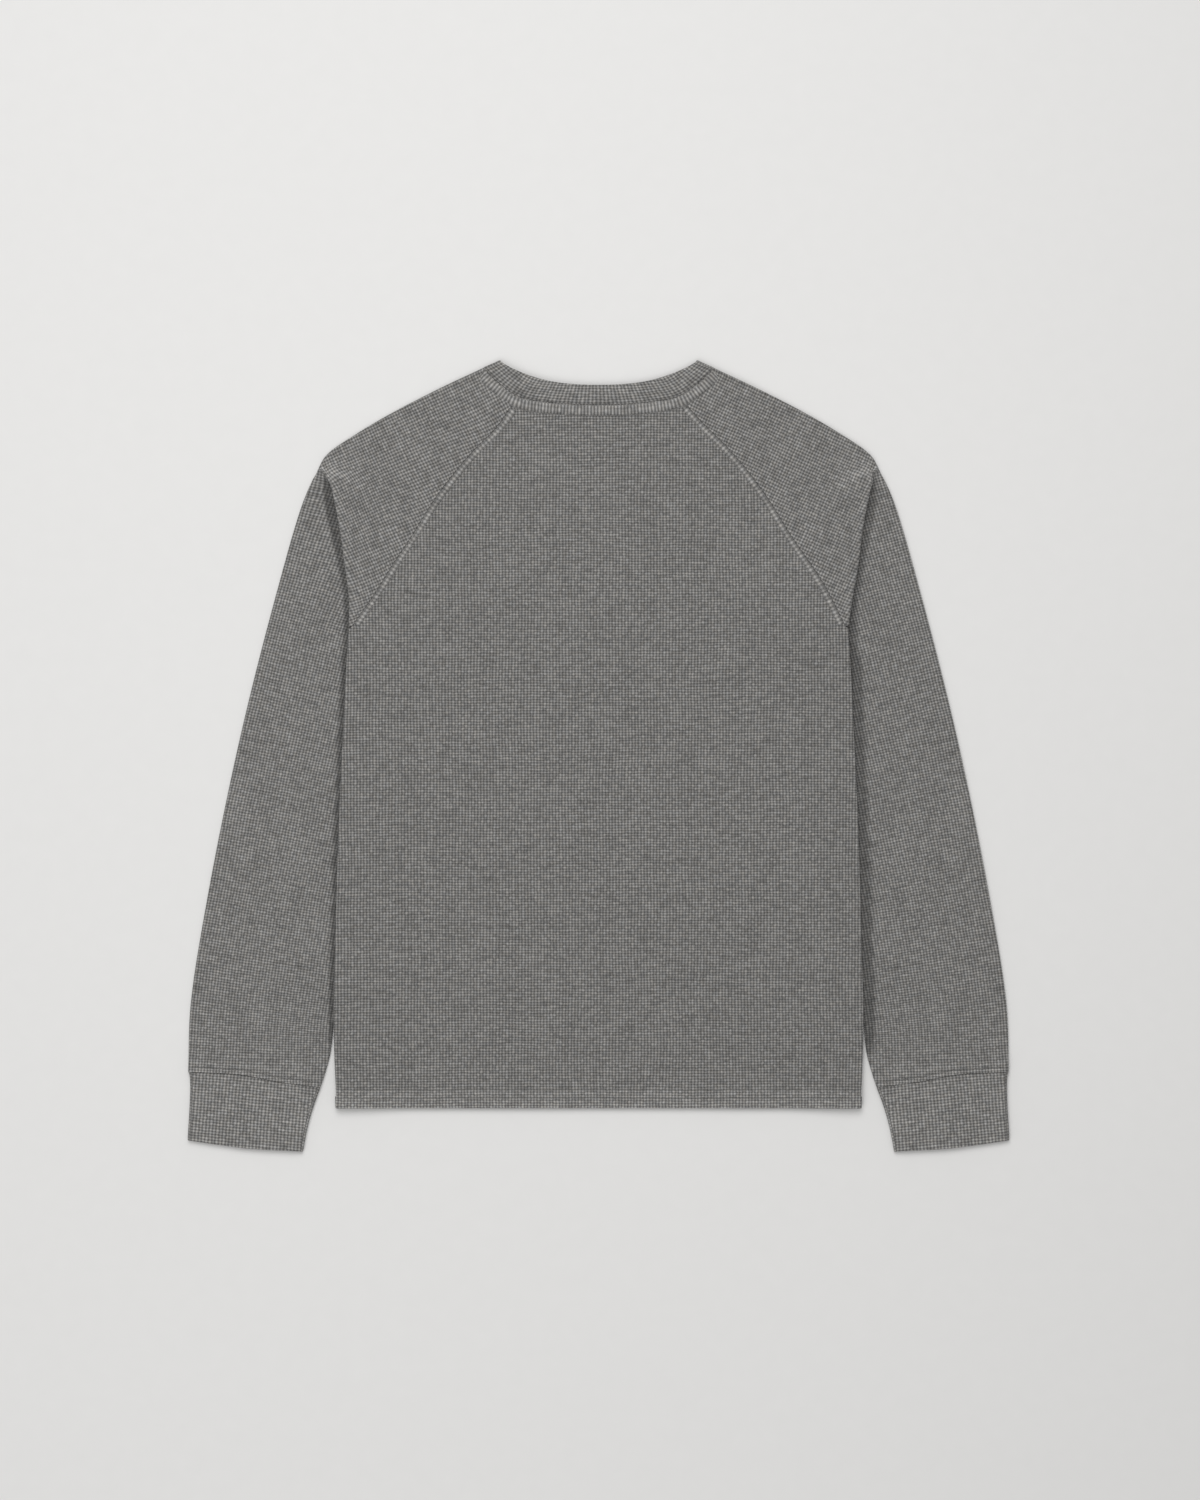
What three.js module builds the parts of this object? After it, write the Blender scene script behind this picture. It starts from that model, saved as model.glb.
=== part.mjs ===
// A long-sleeved thermal top with raglan sleeves, laid flat on a table with its back upwards.
// Millimetres. X runs across the body, +Y towards the neck and +Z up from the table; the origin is
// on the table, under the middle of the outline. +X is the wearer's right, because the back shows.
//
// Every part of the garment is a tube of cloth pressed flat: an upper layer, which is its back, a
// little air, and a lower layer, its front. Each sleeve is turned down from the shoulder, so a wedge
// of it is pleated under the armhole, and the body lies on the sleeves along its sides.
import * as THREE from "three";

// The cloth, and the space between pieces of it.
const CLOTH = 1.2; // one layer of waffle knit
const DOUBLE_CLOTH = 2.2; // the turned hem and the folded cuffs, pressed
const BAND_CLOTH = 2.0; // the folded neckband, pressed
const AIR = 0.8; // between the two layers of a flat tube
const SEAM = 0.3; // between two pieces that are sewn together
const EDGE_ROUND = 0.6; // how far a folded edge is rounded off

// The hem, and how far from each doubled edge the layers beside it are held apart.
const HEM_Y = -330;
const HEM_DEPTH = 11;
const HEM_FADE = 45;
const NECK_Y = 310; // the middle of the neck opening
const NECK_REACH = 125; // the neckband holds the layers apart this far from there
const NECK_FADE = 70;
const CUFF_FADE = 0.06; // of the sleeve's length

// The pleat that turns each sleeve down. It grows from nothing at the point of the shoulder.
const FOLD_RADIUS = 1.9; // of the middle of the two layers, round each fold
const STEP_UP = 2 * FOLD_RADIUS; // one fold lies this much above the next
const FULL_FOLD_AT = 32; // from the shoulder point, where the pleat first lies flat
const FOLD_AT_SHOULDER = 0.002; // of a half turn, at the shoulder point itself
const LENGTH_AT_SHOULDER = 0.5; // of the folds' whole length round their turns
const HIDDEN_SLANT = 0.48; // how the hidden flat of the pleat widens from there
const HIDDEN_START = 0.6; // its width at the shoulder point

// How the cloth comes down off what it lies on.
const SLOPE = 90; // width of the slope
const SHELF = 8; // it stays level this far past the edge beneath
const SHELF_SHARE = 0.2; // near the shoulder point both shrink with the distance from it
const SLOPE_SHARE = 0.8;

// Half outlines, from the neck outwards. The other half is their mirror image.
const OVERARM = [
  { x: 108.5, y: 363.5 },
  { x: 155, y: 341.5 },
  { x: 203.5, y: 316 },
  { x: 237, y: 295.5 },
  { x: 250, y: 286.5 },
  { x: 257.5, y: 279 },
  { x: 262, y: 270.5 },
  { x: 276, y: 240.5 },
  { x: 303.5, y: 146.5 },
  { x: 336.5, y: 15 },
  { x: 367, y: -135 },
  { x: 382.5, y: -235 },
  { x: 384.5, y: -293 },
];
const SHOULDER_ROW = 6; // the row of OVERARM where the pleat starts
const FOLD_LINE = [
  { x: 253.2, y: 266.5 },
  { x: 247.2, y: 254 },
  { x: 243.2, y: 236 },
  { x: 238.7, y: 212 },
  { x: 234.8, y: 178 },
  { x: 232.3, y: 150 },
  { x: 230.5, y: 121.5 },
];
const SIDE_EDGE = [
  { x: 233.4, y: 119 },
  { x: 235.5, y: 90 },
  { x: 239.5, y: 15 },
  { x: 243, y: -60 },
  { x: 246.3, y: -172 },
  { x: 248, y: -250 },
  { x: 245.3, y: HEM_Y },
];
const UNDERARM_SEAM_END = [
  { x: 247, y: -240 },
  { x: 250, y: -269 },
  { x: 261, y: -307.5 },
];
const CUFF_SEAM = [
  { x: 384.5, y: -293 },
  { x: 336, y: -295.5 },
  { x: 299, y: -302.5 },
  { x: 261, y: -307.5 },
];
const CUFF_END = [
  { x: 385, y: -360 },
  { x: 355, y: -364.5 },
  { x: 327, y: -368 },
  { x: 277, y: -370.6 },
];

// The seam of the neckband and its folded top edge, on the back and on the front.
const NECK = [
  { backX: 108.5, backY: 363.5, frontX: 108.5, frontY: 363.5 },
  { backX: 105.2, backY: 359.5, frontX: 106.2, frontY: 359 },
  { backX: 95, backY: 348.5, frontX: 104, frontY: 330 },
  { backX: 75.5, backY: 335.5, frontX: 91, frontY: 299 },
  { backX: 52, backY: 330.5, frontX: 66, frontY: 273 },
  { backX: 27, backY: 328, frontX: 34, frontY: 259.5 },
  { backX: 0, backY: 327.5, frontX: 0, frontY: 256 },
];
const BAND_TOP = [
  { backX: 93, backY: 370.5, frontX: 93, frontY: 370.5 },
  { backX: 90, backY: 368.3, frontX: 90.6, frontY: 366.5 },
  { backX: 82.5, backY: 364, frontX: 86, frontY: 338 },
  { backX: 66, backY: 357, frontX: 74, frontY: 310 },
  { backX: 47, backY: 351.5, frontX: 53.5, frontY: 290 },
  { backX: 26, backY: 348.5, frontX: 28, frontY: 279 },
  { backX: 0, backY: 347.5, frontX: 0, frontY: 276 },
];
const RAGLAN_ROW = 3; // the row of NECK where the raglan seams start
const RAGLAN = [
  { backX: 75.5, backY: 335.5, frontX: 91, frontY: 299 },
  { backX: 98, backY: 311.5, frontX: 109, frontY: 281 },
  { backX: 124, backY: 285.5, frontX: 131, frontY: 256 },
  { backX: 154, backY: 248, frontX: 156, frontY: 223 },
  { backX: 179, backY: 208, frontX: 180, frontY: 190 },
  { backX: 204, backY: 169, frontX: 205, frontY: 157 },
  { backX: 230.5, backY: 121.5, frontX: 230.5, frontY: 121.5 },
];

// How finely the cloth is divided.
const RAGLAN_STEPS = [0, 0.16, 0.32, 0.47, 0.6, 0.72, 0.82, 0.9, 0.96]; // neck to underarm
const BODY_ROWS = [119, 98, 70, 30, -20, -80, -150, -220, -270, -300]; // heights
const BODY_COLUMNS = [0, 0.3, 0.5, 0.63, 0.74, 0.83, 0.91, 1]; // of the half width
const SLEEVE_COLUMNS = [0, 0.025, 0.055, 0.095, 0.16, 0.3, 0.52, 0.76, 1]; // outer to inner
const TURN_ANGLES = [45, 0, -45].map(THREE.MathUtils.degToRad); // round an outer edge
const FOLD_STEPS = 4; // in each half turn of the pleat
const TUBE_STEPS = 10; // along the sleeve
const CUFF_ROWS = [0, 0.33, 0.67]; // of its height, above the folded end
const BAND_ROWS = [0, 0.33, 0.67];
const AREA_STEPS = { pleat: [0, 0.05, 0.1, 0.15, 0.2, 0.3, 0.5, 0.75, 1], overarm: 20, underarm: 8 };
const LENGTH_STEPS = 1000; // in which a curve's length is measured

// The cloth at a seam along a tube's edge: the share of its curl, how far across and how high its
// outer face is, as shares of half the tube's thickness. The last height is half a seam.
const CURL_STEPS = [
  { share: 0.5, across: 0.75, height: 0.75 },
  { share: 1, across: 1, height: 0 },
];
const CORNER_CURL = 0.5; // where a square end passes into a curled one

// A seam or a fold gives its bow to the lines beside it, as a power of their share of the way.
const BOW = { neck: 2, fold: 4, pleat: 3, cuff: 6, panelEdge: 4, ownSeam: 2 };

const { lerp, smoothstep } = THREE.MathUtils;
const UP = new THREE.Vector3(0, 0, 1);
const GREY = { color: 0x777573, roughness: 0.95, metalness: 0 };

// Beside a doubled edge the single layers stay this far apart, so that their outer faces are level.
const airBeside = (doubled) => 2 * doubled + AIR - 2 * CLOTH;

// Curves in the plane of the table.

function curveThrough(points) {
  const at = points.map(({ x, y }) => new THREE.Vector3(x, y, 0));
  return new THREE.CatmullRomCurve3(at, false, "centripetal");
}

function leftOf(curve, u) {
  const along = curve.getTangentAt(u);
  return new THREE.Vector3(-along.y, along.x, 0);
}

function rightOf(curve, u) {
  return leftOf(curve, u).negate();
}

function layerRows(table, layer) {
  return table.map((row) => ({ x: row[`${layer}X`], y: row[`${layer}Y`] }));
}

function acrossTheNeck(table, layer) {
  const half = layerRows(table, layer);
  const otherHalf = half.slice(0, -1).reverse();
  return curveThrough([...half, ...otherHalf.map(({ x, y }) => ({ x: -x, y }))]);
}

// The share of a curve's length at which it passes one of its own points.
function shareOfPoint(curve, row) {
  const lengths = curve.getLengths(LENGTH_STEPS);
  const at = Math.round((LENGTH_STEPS * row) / (curve.points.length - 1));
  return lengths[at] / lengths[LENGTH_STEPS];
}

const overarm = curveThrough(OVERARM);
const sideEdge = curveThrough(SIDE_EDGE);
const cuffSeam = curveThrough(CUFF_SEAM);
const cuffEnd = curveThrough(CUFF_END);
const raglan = {
  back: curveThrough(layerRows(RAGLAN, "back")),
  front: curveThrough(layerRows(RAGLAN, "front")),
};
const neckSeam = { back: acrossTheNeck(NECK, "back"), front: acrossTheNeck(NECK, "front") };
const bandTop = { back: acrossTheNeck(BAND_TOP, "back"), front: acrossTheNeck(BAND_TOP, "front") };
const raglanAt = {
  back: shareOfPoint(neckSeam.back, RAGLAN_ROW),
  front: shareOfPoint(neckSeam.front, RAGLAN_ROW),
};

// The pleat. Across the fold line it is an S: down and under, back in, and out again.

const TUBE_REACH = CLOTH + AIR / 2;
const shoulderAt = shareOfPoint(overarm, SHOULDER_ROW);
const SHOULDER = overarm
  .getPointAt(shoulderAt)
  .addScaledVector(leftOf(overarm, shoulderAt), -TUBE_REACH);
const foldLine = curveThrough([SHOULDER, ...FOLD_LINE]);
const foldInset = TUBE_REACH / foldLine.getLength();
const pleatAtShoulder = 2 * Math.PI * FOLD_RADIUS * LENGTH_AT_SHOULDER + HIDDEN_START;
const pleatEndAt = shoulderAt + pleatAtShoulder / overarm.getLength();

function pleatSizes(distance) {
  const grown = smoothstep(distance, 0, FULL_FOLD_AT);
  const turn = Math.PI * Math.max(FOLD_AT_SHOULDER, grown);
  const radius = (Math.PI * FOLD_RADIUS * lerp(LENGTH_AT_SHOULDER, 1, grown)) / turn;
  const flat = HIDDEN_START + HIDDEN_SLANT * Math.max(0, distance - FULL_FOLD_AT);
  const flatOut = flat * Math.cos(turn);
  const flatDown = flat * Math.sin(turn);
  const drop = 2 * radius * (1 - Math.cos(turn)) + flatDown;
  return { turn, radius, flatOut, flatDown, drop };
}

// A point of the S: how far out and down from the fold line's start, and the slope there.
function pleatPoint({ turn, radius, flatOut, flatDown }, { lower, share }) {
  const sweep = radius * Math.sin(turn);
  const depth = radius * (1 - Math.cos(turn));
  const angle = (lower ? 1 - share : share) * turn;
  const out = radius * Math.sin(angle);
  const down = radius * (1 - Math.cos(angle));
  if (!lower) return { out, down, angle };
  return { out: 2 * sweep + flatOut - out, down: 2 * depth + flatDown - down, angle };
}

// The plan of one line of the pleat, at a share of the fold line.
function pleatPlan(share, step) {
  const start = foldLine.getPointAt(share);
  const sizes = pleatSizes(start.distanceTo(SHOULDER));
  const point = pleatPoint(sizes, step);
  const outward = leftOf(foldLine, share);
  const at = start.clone().addScaledVector(outward, point.out);
  return { ...point, start, outward, at, drop: sizes.drop };
}

const PLEAT_TOP = { lower: false, share: 0 };
const PLEAT_INNER = { lower: true, share: 0 };
const PLEAT_END = { lower: true, share: 1 };
const underarmSeam = curveThrough([pleatPlan(1, PLEAT_END).at, ...UNDERARM_SEAM_END]);

// How high the body and the tops of the sleeves are carried over what lies beneath them.

const innerFold = AREA_STEPS.pleat.map((share) => pleatPlan(share, PLEAT_INNER).at);
const outerFold = AREA_STEPS.pleat.map((share) => pleatPlan(share, PLEAT_TOP).at);
const PLEAT_AREA = [...innerFold, ...outerFold.reverse()];
const wholeOverarm = overarm.getSpacedPoints(AREA_STEPS.overarm);
const belowShoulder = wholeOverarm.filter(({ y }) => y < SHOULDER.y);
const SLEEVE_AREA = [
  ...innerFold,
  ...underarmSeam.getSpacedPoints(AREA_STEPS.underarm),
  cuffEnd.getPointAt(1),
  cuffEnd.getPointAt(0),
  ...belowShoulder.reverse(),
];

function distanceOutside(x, y, area) {
  let inside = false;
  let nearest = Infinity;
  area.forEach((from, n) => {
    const to = area[(n + 1) % area.length];
    const along = to.clone().sub(from);
    const offset = new THREE.Vector3(x - from.x, y - from.y, 0);
    const share = THREE.MathUtils.clamp(offset.dot(along) / (along.lengthSq() || 1), 0, 1);
    nearest = Math.min(nearest, offset.addScaledVector(along, -share).length());
    const crossing = from.x + ((y - from.y) / (to.y - from.y)) * (to.x - from.x);
    if (from.y > y !== to.y > y && x < crossing) inside = !inside;
  });
  return inside ? 0 : nearest;
}

function lift(x, y) {
  const across = Math.abs(x);
  const fromShoulder = Math.hypot(across - SHOULDER.x, y - SHOULDER.y);
  const shelf = Math.min(SHELF, SHELF_SHARE * fromShoulder);
  const slope = Math.min(SLOPE, SLOPE_SHARE * fromShoulder) || 1;
  const carried = (area) => {
    const outside = distanceOutside(across, y, area);
    return 1 - smoothstep(outside, shelf, shelf + slope);
  };
  return (pleatSizes(fromShoulder).drop / 2) * (carried(PLEAT_AREA) + carried(SLEEVE_AREA));
}

function airAt(x, y) {
  const fromNeck = Math.hypot(x, y - NECK_Y);
  const atNeck = 1 - smoothstep(fromNeck, NECK_REACH, NECK_REACH + NECK_FADE);
  const atHem = 1 - smoothstep(y, HEM_Y + HEM_DEPTH, HEM_Y + HEM_DEPTH + HEM_FADE);
  const extra = (doubled) => airBeside(doubled) - AIR;
  return AIR + atNeck * extra(BAND_CLOTH) + atHem * extra(DOUBLE_CLOTH);
}

// A flat tube of cloth over a point of the table: the middle of its two layers, the way up from
// it, the thickness of each layer and the air between them.
function tubeOver({ x, y }, { cloth = CLOTH, air = airAt(x, y) } = {}) {
  const span = 0.5;
  const slopeX = (lift(x + span, y) - lift(x - span, y)) / (2 * span);
  const slopeY = (lift(x, y + span) - lift(x, y - span)) / (2 * span);
  const up = new THREE.Vector3(-slopeX, -slopeY, 1).normalize();
  const middle = new THREE.Vector3(x, y, lift(x, y)).addScaledVector(up, cloth + air / 2);
  return { middle, up, cloth, air };
}

function tubeOnTable({ x, y }, { cloth = CLOTH, air = AIR } = {}) {
  return { middle: new THREE.Vector3(x, y, cloth + air / 2), up: UP, cloth, air };
}

// Places in the wall of a tube. Layer is 1 for the upper one and -1 for the lower.

function flatPlace({ middle, up, cloth, air }, layer) {
  return {
    outer: middle.clone().addScaledVector(up, layer * (air / 2 + cloth)),
    inner: middle.clone().addScaledVector(up, (layer * air) / 2),
  };
}

// On the round of an outer edge, where the cloth turns from one layer into the other.
function turnedPlace({ middle, up, cloth, air }, away, angle) {
  const ray = away.clone().multiplyScalar(Math.cos(angle)).addScaledVector(up, Math.sin(angle));
  return {
    outer: middle.clone().addScaledVector(ray, air / 2 + cloth),
    inner: middle.clone().addScaledVector(ray, air / 2),
  };
}

// The last places of a layer, up to a seam. A seam in the flat of the tube, where curl is 0, is
// met by a square end. At one along the tube's edge, where curl is 1, the cloth curls round to
// meet the other layer.
function seamPlaces(tube, layer, away, curl) {
  const { middle, up, cloth, air } = tube;
  const reach = air / 2 + cloth;
  return CURL_STEPS.map(({ share, across, height }) => {
    const flat = flatPlace(tube, layer);
    const along = share * (reach - SEAM / 2);
    flat.outer.addScaledVector(away, along);
    flat.inner.addScaledVector(away, along);
    const curledOuter = middle.clone().addScaledVector(away, across * reach);
    curledOuter.addScaledVector(up, layer * Math.max(height * reach, SEAM / 2));
    const curledInner = middle.clone().addScaledVector(away, (share * air) / 2);
    curledInner.addScaledVector(up, layer * lerp(air / 2, SEAM / 2, share));
    return { outer: flat.outer.lerp(curledOuter, curl), inner: flat.inner.lerp(curledInner, curl) };
  });
}

// A wall of cloth from a grid of places, with its outer and inner face, closed at its edges. A
// ring's last row is joined to its first. A symmetric wall's squares are split in two in mirrored ways.
function clothWall(grid, { ring = false, symmetric = false } = {}) {
  const rows = grid.length;
  const columns = grid[0].length;
  const last = columns - 1;
  const places = grid.flat();
  const points = [...places.map(({ outer }) => outer), ...places.map(({ inner }) => inner)];
  const outer = (i, j) => (i % rows) * columns + j;
  const inner = (i, j) => outer(i, j) + rows * columns;
  const faces = [];
  const quad = (a, b, c, d) => faces.push(a, b, c, a, c, d);
  const otherQuad = (a, b, c, d) => quad(b, c, d, a);
  for (let i = 0; i < (ring ? rows : rows - 1); i++) {
    for (let j = 0; j < last; j++) {
      const split = symmetric && 2 * j >= last ? otherQuad : quad;
      split(outer(i, j), outer(i + 1, j), outer(i + 1, j + 1), outer(i, j + 1));
      split(inner(i, j), inner(i, j + 1), inner(i + 1, j + 1), inner(i + 1, j));
    }
    quad(outer(i, 0), inner(i, 0), inner(i + 1, 0), outer(i + 1, 0));
    quad(outer(i, last), outer(i + 1, last), inner(i + 1, last), inner(i, last));
  }
  if (!ring) {
    const end = rows - 1;
    for (let j = 0; j < last; j++) {
      quad(outer(0, j), outer(0, j + 1), inner(0, j + 1), inner(0, j));
      quad(outer(end, j), inner(end, j), inner(end, j + 1), outer(end, j + 1));
    }
  }
  if (enclosedVolume(points, faces) < 0) faces.reverse();
  const geometry = new THREE.BufferGeometry().setFromPoints(points);
  geometry.setIndex(faces);
  geometry.computeVertexNormals();
  return geometry;
}

function enclosedVolume(points, faces) {
  let six = 0;
  for (let f = 0; f < faces.length; f += 3) {
    const [a, b, c] = faces.slice(f, f + 3).map((n) => points[n]);
    six += a.dot(b.clone().cross(c));
  }
  return six / 6;
}

// The last place at a folded edge, beyond a place of full thickness, with both faces rounded in.
function roundedEdge({ outer, inner }, beyond) {
  const pinch = EDGE_ROUND / outer.distanceTo(inner);
  return {
    outer: outer.clone().lerp(inner, pinch).add(beyond),
    inner: inner.clone().lerp(outer, pinch).add(beyond),
  };
}

// The neck edge of a sleeve or a panel, half a seam away from the neckband.

function neckInset(layer) {
  return (CLOTH + airBeside(BAND_CLOTH) / 2) / neckSeam[layer].getLength();
}

function sleeveNeckShare(share, layer) {
  const inset = neckInset(layer);
  return lerp(inset, raglanAt[layer] - inset, share);
}

function bodyNeckShare(share, layer) {
  return lerp(0.5, raglanAt[layer] + neckInset(layer), share);
}

function besideNeck(u, layer) {
  return neckSeam[layer].getPointAt(u).addScaledVector(leftOf(neckSeam[layer], u), SEAM / 2);
}

// Front and back panels: rows across the body, from the hem to the neck. Each has a plan of the
// middle of the tube for every share of the way from the body's middle to its edge.

function sideEdgeX(y) {
  const halvings = 30;
  let above = 0;
  let below = 1;
  for (let n = 0; n < halvings; n++) {
    const between = (above + below) / 2;
    if (sideEdge.getPointAt(between).y > y) above = between;
    else below = between;
  }
  return sideEdge.getPointAt(above).x;
}

function sideRow(y, wall) {
  const x = sideEdgeX(y);
  const end = x - CLOTH - airAt(x, y) / 2;
  const away = new THREE.Vector3(1, 0, 0);
  return { wall, away, curl: 1, plan: (share) => ({ x: share * end, y }) };
}

function neckRow(layer) {
  const away = neckSeam[layer].getTangentAt(raglanAt[layer]).negate();
  return { away, curl: 0, plan: (share) => besideNeck(bodyNeckShare(share, layer), layer) };
}

function raglanRow(step, layer) {
  if (step === 0) return neckRow(layer);
  const edge = raglan[layer].getPointAt(step);
  const away = leftOf(raglan[layer], step);
  const end = edge.clone().addScaledVector(away, -CLOTH - airAt(edge.x, edge.y) / 2);
  const neckEnd = besideNeck(bodyNeckShare(1, layer), layer);
  const neckMiddle = besideNeck(bodyNeckShare(0, layer), layer);
  const middleY = lerp(neckMiddle.y, FOLD_LINE.at(-1).y, step);
  const plan = (share) => {
    const neck = besideNeck(bodyNeckShare(share, layer), layer);
    const neckBow = (neck.y - neckMiddle.y) / (neckEnd.y - neckMiddle.y);
    const bow = lerp(neckBow, share ** BOW.panelEdge, step);
    return { x: end.x * lerp(neck.x / neckEnd.x, share, step), y: lerp(middleY, end.y, bow) };
  };
  return { away, curl: step === 1 ? CORNER_CURL : 0, plan };
}

function panelRows(layer) {
  const doubled = { cloth: DOUBLE_CLOTH, air: AIR };
  const single = { cloth: CLOTH, air: airBeside(DOUBLE_CLOTH) };
  return [
    sideRow(HEM_Y, { ...doubled, folded: true }),
    sideRow(HEM_Y + EDGE_ROUND, doubled),
    sideRow(HEM_Y + HEM_DEPTH, doubled),
    sideRow(HEM_Y + HEM_DEPTH + EDGE_ROUND, single),
    ...[...BODY_ROWS].reverse().map((y) => sideRow(y)),
    ...[...RAGLAN_STEPS, 1].reverse().map((step) => raglanRow(step, layer)),
  ];
}

function panelPlaces({ plan, wall, away, curl }, layer) {
  const flat = BODY_COLUMNS.map((share) => flatPlace(tubeOver(plan(share), wall), layer));
  const edge = seamPlaces(tubeOver(plan(1), wall), layer, away, curl);
  let half = [...flat, ...edge];
  if (wall?.folded) half = half.map((place) => roundedEdge(place, new THREE.Vector3()));
  const flip = ({ x, y, z }) => new THREE.Vector3(-x, y, z);
  const flipped = half.map(({ outer, inner }) => ({ outer: flip(outer), inner: flip(inner) }));
  return [...flipped.slice(1).reverse(), ...half];
}

function panel(name, layer) {
  const grid = panelRows(name).map((row) => panelPlaces(row, layer));
  return clothWall(grid, { symmetric: true });
}

// Sleeves: lines across the sleeve, from the neck to the cuff. Each has a plan of the middle of the
// tube for every share of the way from its outer edge to its inner one.

// A line between two edges, bowed as other lines are. Each bow has its own weight.
function bowedLine(from, to, bows) {
  return (share) => {
    const at = from.clone().lerp(to, share);
    for (const { line, weight } of bows) {
      at.addScaledVector(line(share).sub(line(0).lerp(line(1), share)), weight);
    }
    return at;
  };
}

function insetFrom(edge, away, air) {
  return edge.addScaledVector(away, -CLOTH - air / 2);
}

function neckLine(layer) {
  const plan = (share) => besideNeck(sleeveNeckShare(share, layer), layer);
  return {
    outerAway: leftOf(overarm, 0),
    innerAway: neckSeam[layer].getTangentAt(raglanAt[layer]),
    curl: 0,
    plan,
    tube: (share) => tubeOver(plan(share)),
  };
}

function foldPlan(share) {
  return foldLine.getPointAt(share * (1 - foldInset));
}

function raglanPlan(step, layer) {
  const outer = overarm.getPointAt(step * shoulderAt);
  const inner = raglan[layer].getPointAt(step);
  const from = insetFrom(outer, leftOf(overarm, step * shoulderAt), airAt(outer.x, outer.y));
  const to = insetFrom(inner, rightOf(raglan[layer], step), airAt(inner.x, inner.y));
  return bowedLine(from, to, [
    { line: neckLine(layer).plan, weight: (1 - step) ** BOW.neck },
    { line: foldPlan, weight: step ** BOW.fold },
  ]);
}

// Away from their own raglan seams both layers are divided alike, so that they stay apart.
function raglanLine(step, layer) {
  if (step === 0) return neckLine(layer);
  const shared = raglanPlan(step, "back");
  const own = raglanPlan(step, layer);
  return {
    outerAway: leftOf(overarm, step * shoulderAt),
    innerAway: rightOf(raglan[layer], step),
    curl: 0,
    tube: (share) => tubeOver(shared(share).lerp(own(share), share ** BOW.ownSeam)),
  };
}

function pleatLine(step) {
  const tube = (share) => {
    const { at, start, outward, down, angle, drop } = pleatPlan(share * (1 - foldInset), step);
    const top = tubeOver(start);
    const level = top.up.lerp(UP, down / drop).normalize();
    const up = level.multiplyScalar(Math.cos(angle)).addScaledVector(outward, Math.sin(angle));
    const middle = at.setZ(lerp(top.middle.z, TUBE_REACH, down / drop));
    return { middle, up: up.normalize(), cloth: CLOTH, air: AIR };
  };
  return {
    outerAway: leftOf(overarm, shoulderAt),
    innerAway: foldLine.getTangentAt(1),
    curl: step === PLEAT_TOP ? CORNER_CURL : 1,
    tube,
  };
}

function tubeLine(step) {
  const pleatEnd = (share) => pleatPlan(share * (1 - foldInset), PLEAT_END).at;
  const air = lerp(AIR, airBeside(DOUBLE_CLOTH), smoothstep(step, 1 - CUFF_FADE, 1));
  const outerAway = leftOf(overarm, lerp(pleatEndAt, 1, step));
  const innerAway = rightOf(underarmSeam, step);
  const from = insetFrom(overarm.getPointAt(lerp(pleatEndAt, 1, step)), outerAway, air);
  const to = insetFrom(underarmSeam.getPointAt(step), innerAway, air);
  const bowed = bowedLine(from, to, [
    { line: pleatEnd, weight: (1 - step) ** BOW.pleat },
    { line: besideCuffSeam(-SEAM / 2), weight: step ** BOW.cuff },
  ]);
  const plan = step === 1 ? besideCuffSeam(-SEAM / 2) : bowed;
  return { outerAway, innerAway, curl: 1, tube: (share) => tubeOnTable(plan(share), { air }) };
}

// The line of the cuff seam, moved towards the hand.
function besideCuffSeam(below) {
  const inset = (DOUBLE_CLOTH + AIR / 2) / cuffSeam.getLength();
  return (share) => {
    const u = lerp(inset, 1 - inset, share);
    return cuffSeam.getPointAt(u).addScaledVector(leftOf(cuffSeam, u), below);
  };
}

function sleeveLines(name) {
  const steps = Array.from({ length: FOLD_STEPS + 1 }, (_, n) => n / FOLD_STEPS);
  const upperFold = steps.slice(1).map((share) => pleatLine({ lower: false, share }));
  const lowerFold = steps.map((share) => pleatLine({ lower: true, share }));
  const tubeSteps = Array.from({ length: TUBE_STEPS }, (_, n) => (n + 1) / TUBE_STEPS);
  return [
    ...RAGLAN_STEPS.map((step) => raglanLine(step, name)),
    pleatLine(PLEAT_TOP),
    ...upperFold,
    ...lowerFold,
    ...tubeSteps.map(tubeLine),
  ];
}

function layerPlaces({ tube, innerAway, curl }, layer) {
  const flat = SLEEVE_COLUMNS.map((share) => flatPlace(tube(share), layer));
  return [...flat, ...seamPlaces(tube(1), layer, innerAway, curl)];
}

function sleeve() {
  const front = sleeveLines("front");
  const grid = sleeveLines("back").map((line, n) => {
    const turn = TURN_ANGLES.map((angle) => turnedPlace(line.tube(0), line.outerAway, angle));
    return [...layerPlaces(line, 1).reverse(), ...turn, ...layerPlaces(front[n], -1)];
  });
  return clothWall(grid, { symmetric: true });
}

// Cuffs: rows round the wrist, each from the seam to the folded end.

function cuffRow(share, place) {
  const wall = { cloth: DOUBLE_CLOTH, air: AIR };
  const inset = (DOUBLE_CLOTH + AIR / 2) / cuffEnd.getLength();
  const seam = besideCuffSeam(SEAM / 2)(share);
  const end = cuffEnd.getPointAt(lerp(inset, 1 - inset, share));
  const down = end.clone().sub(seam).setLength(EDGE_ROUND);
  end.sub(down);
  const places = [...CUFF_ROWS, 1].map((row) => place(tubeOnTable(seam.clone().lerp(end, row), wall)));
  return [...places, roundedEdge(places.at(-1), down)];
}

function cuff() {
  const flat = (layer) => SLEEVE_COLUMNS.map((share) => cuffRow(share, (tube) => flatPlace(tube, layer)));
  const turn = (share, away) =>
    TURN_ANGLES.map((angle) => cuffRow(share, (tube) => turnedPlace(tube, away, angle)));
  const overTurn = turn(0, leftOf(overarm, 1));
  const underTurn = turn(1, rightOf(underarmSeam, 1)).reverse();
  return clothWall([...flat(1).reverse(), ...overTurn, ...flat(-1), ...underTurn], { ring: true });
}

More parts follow.
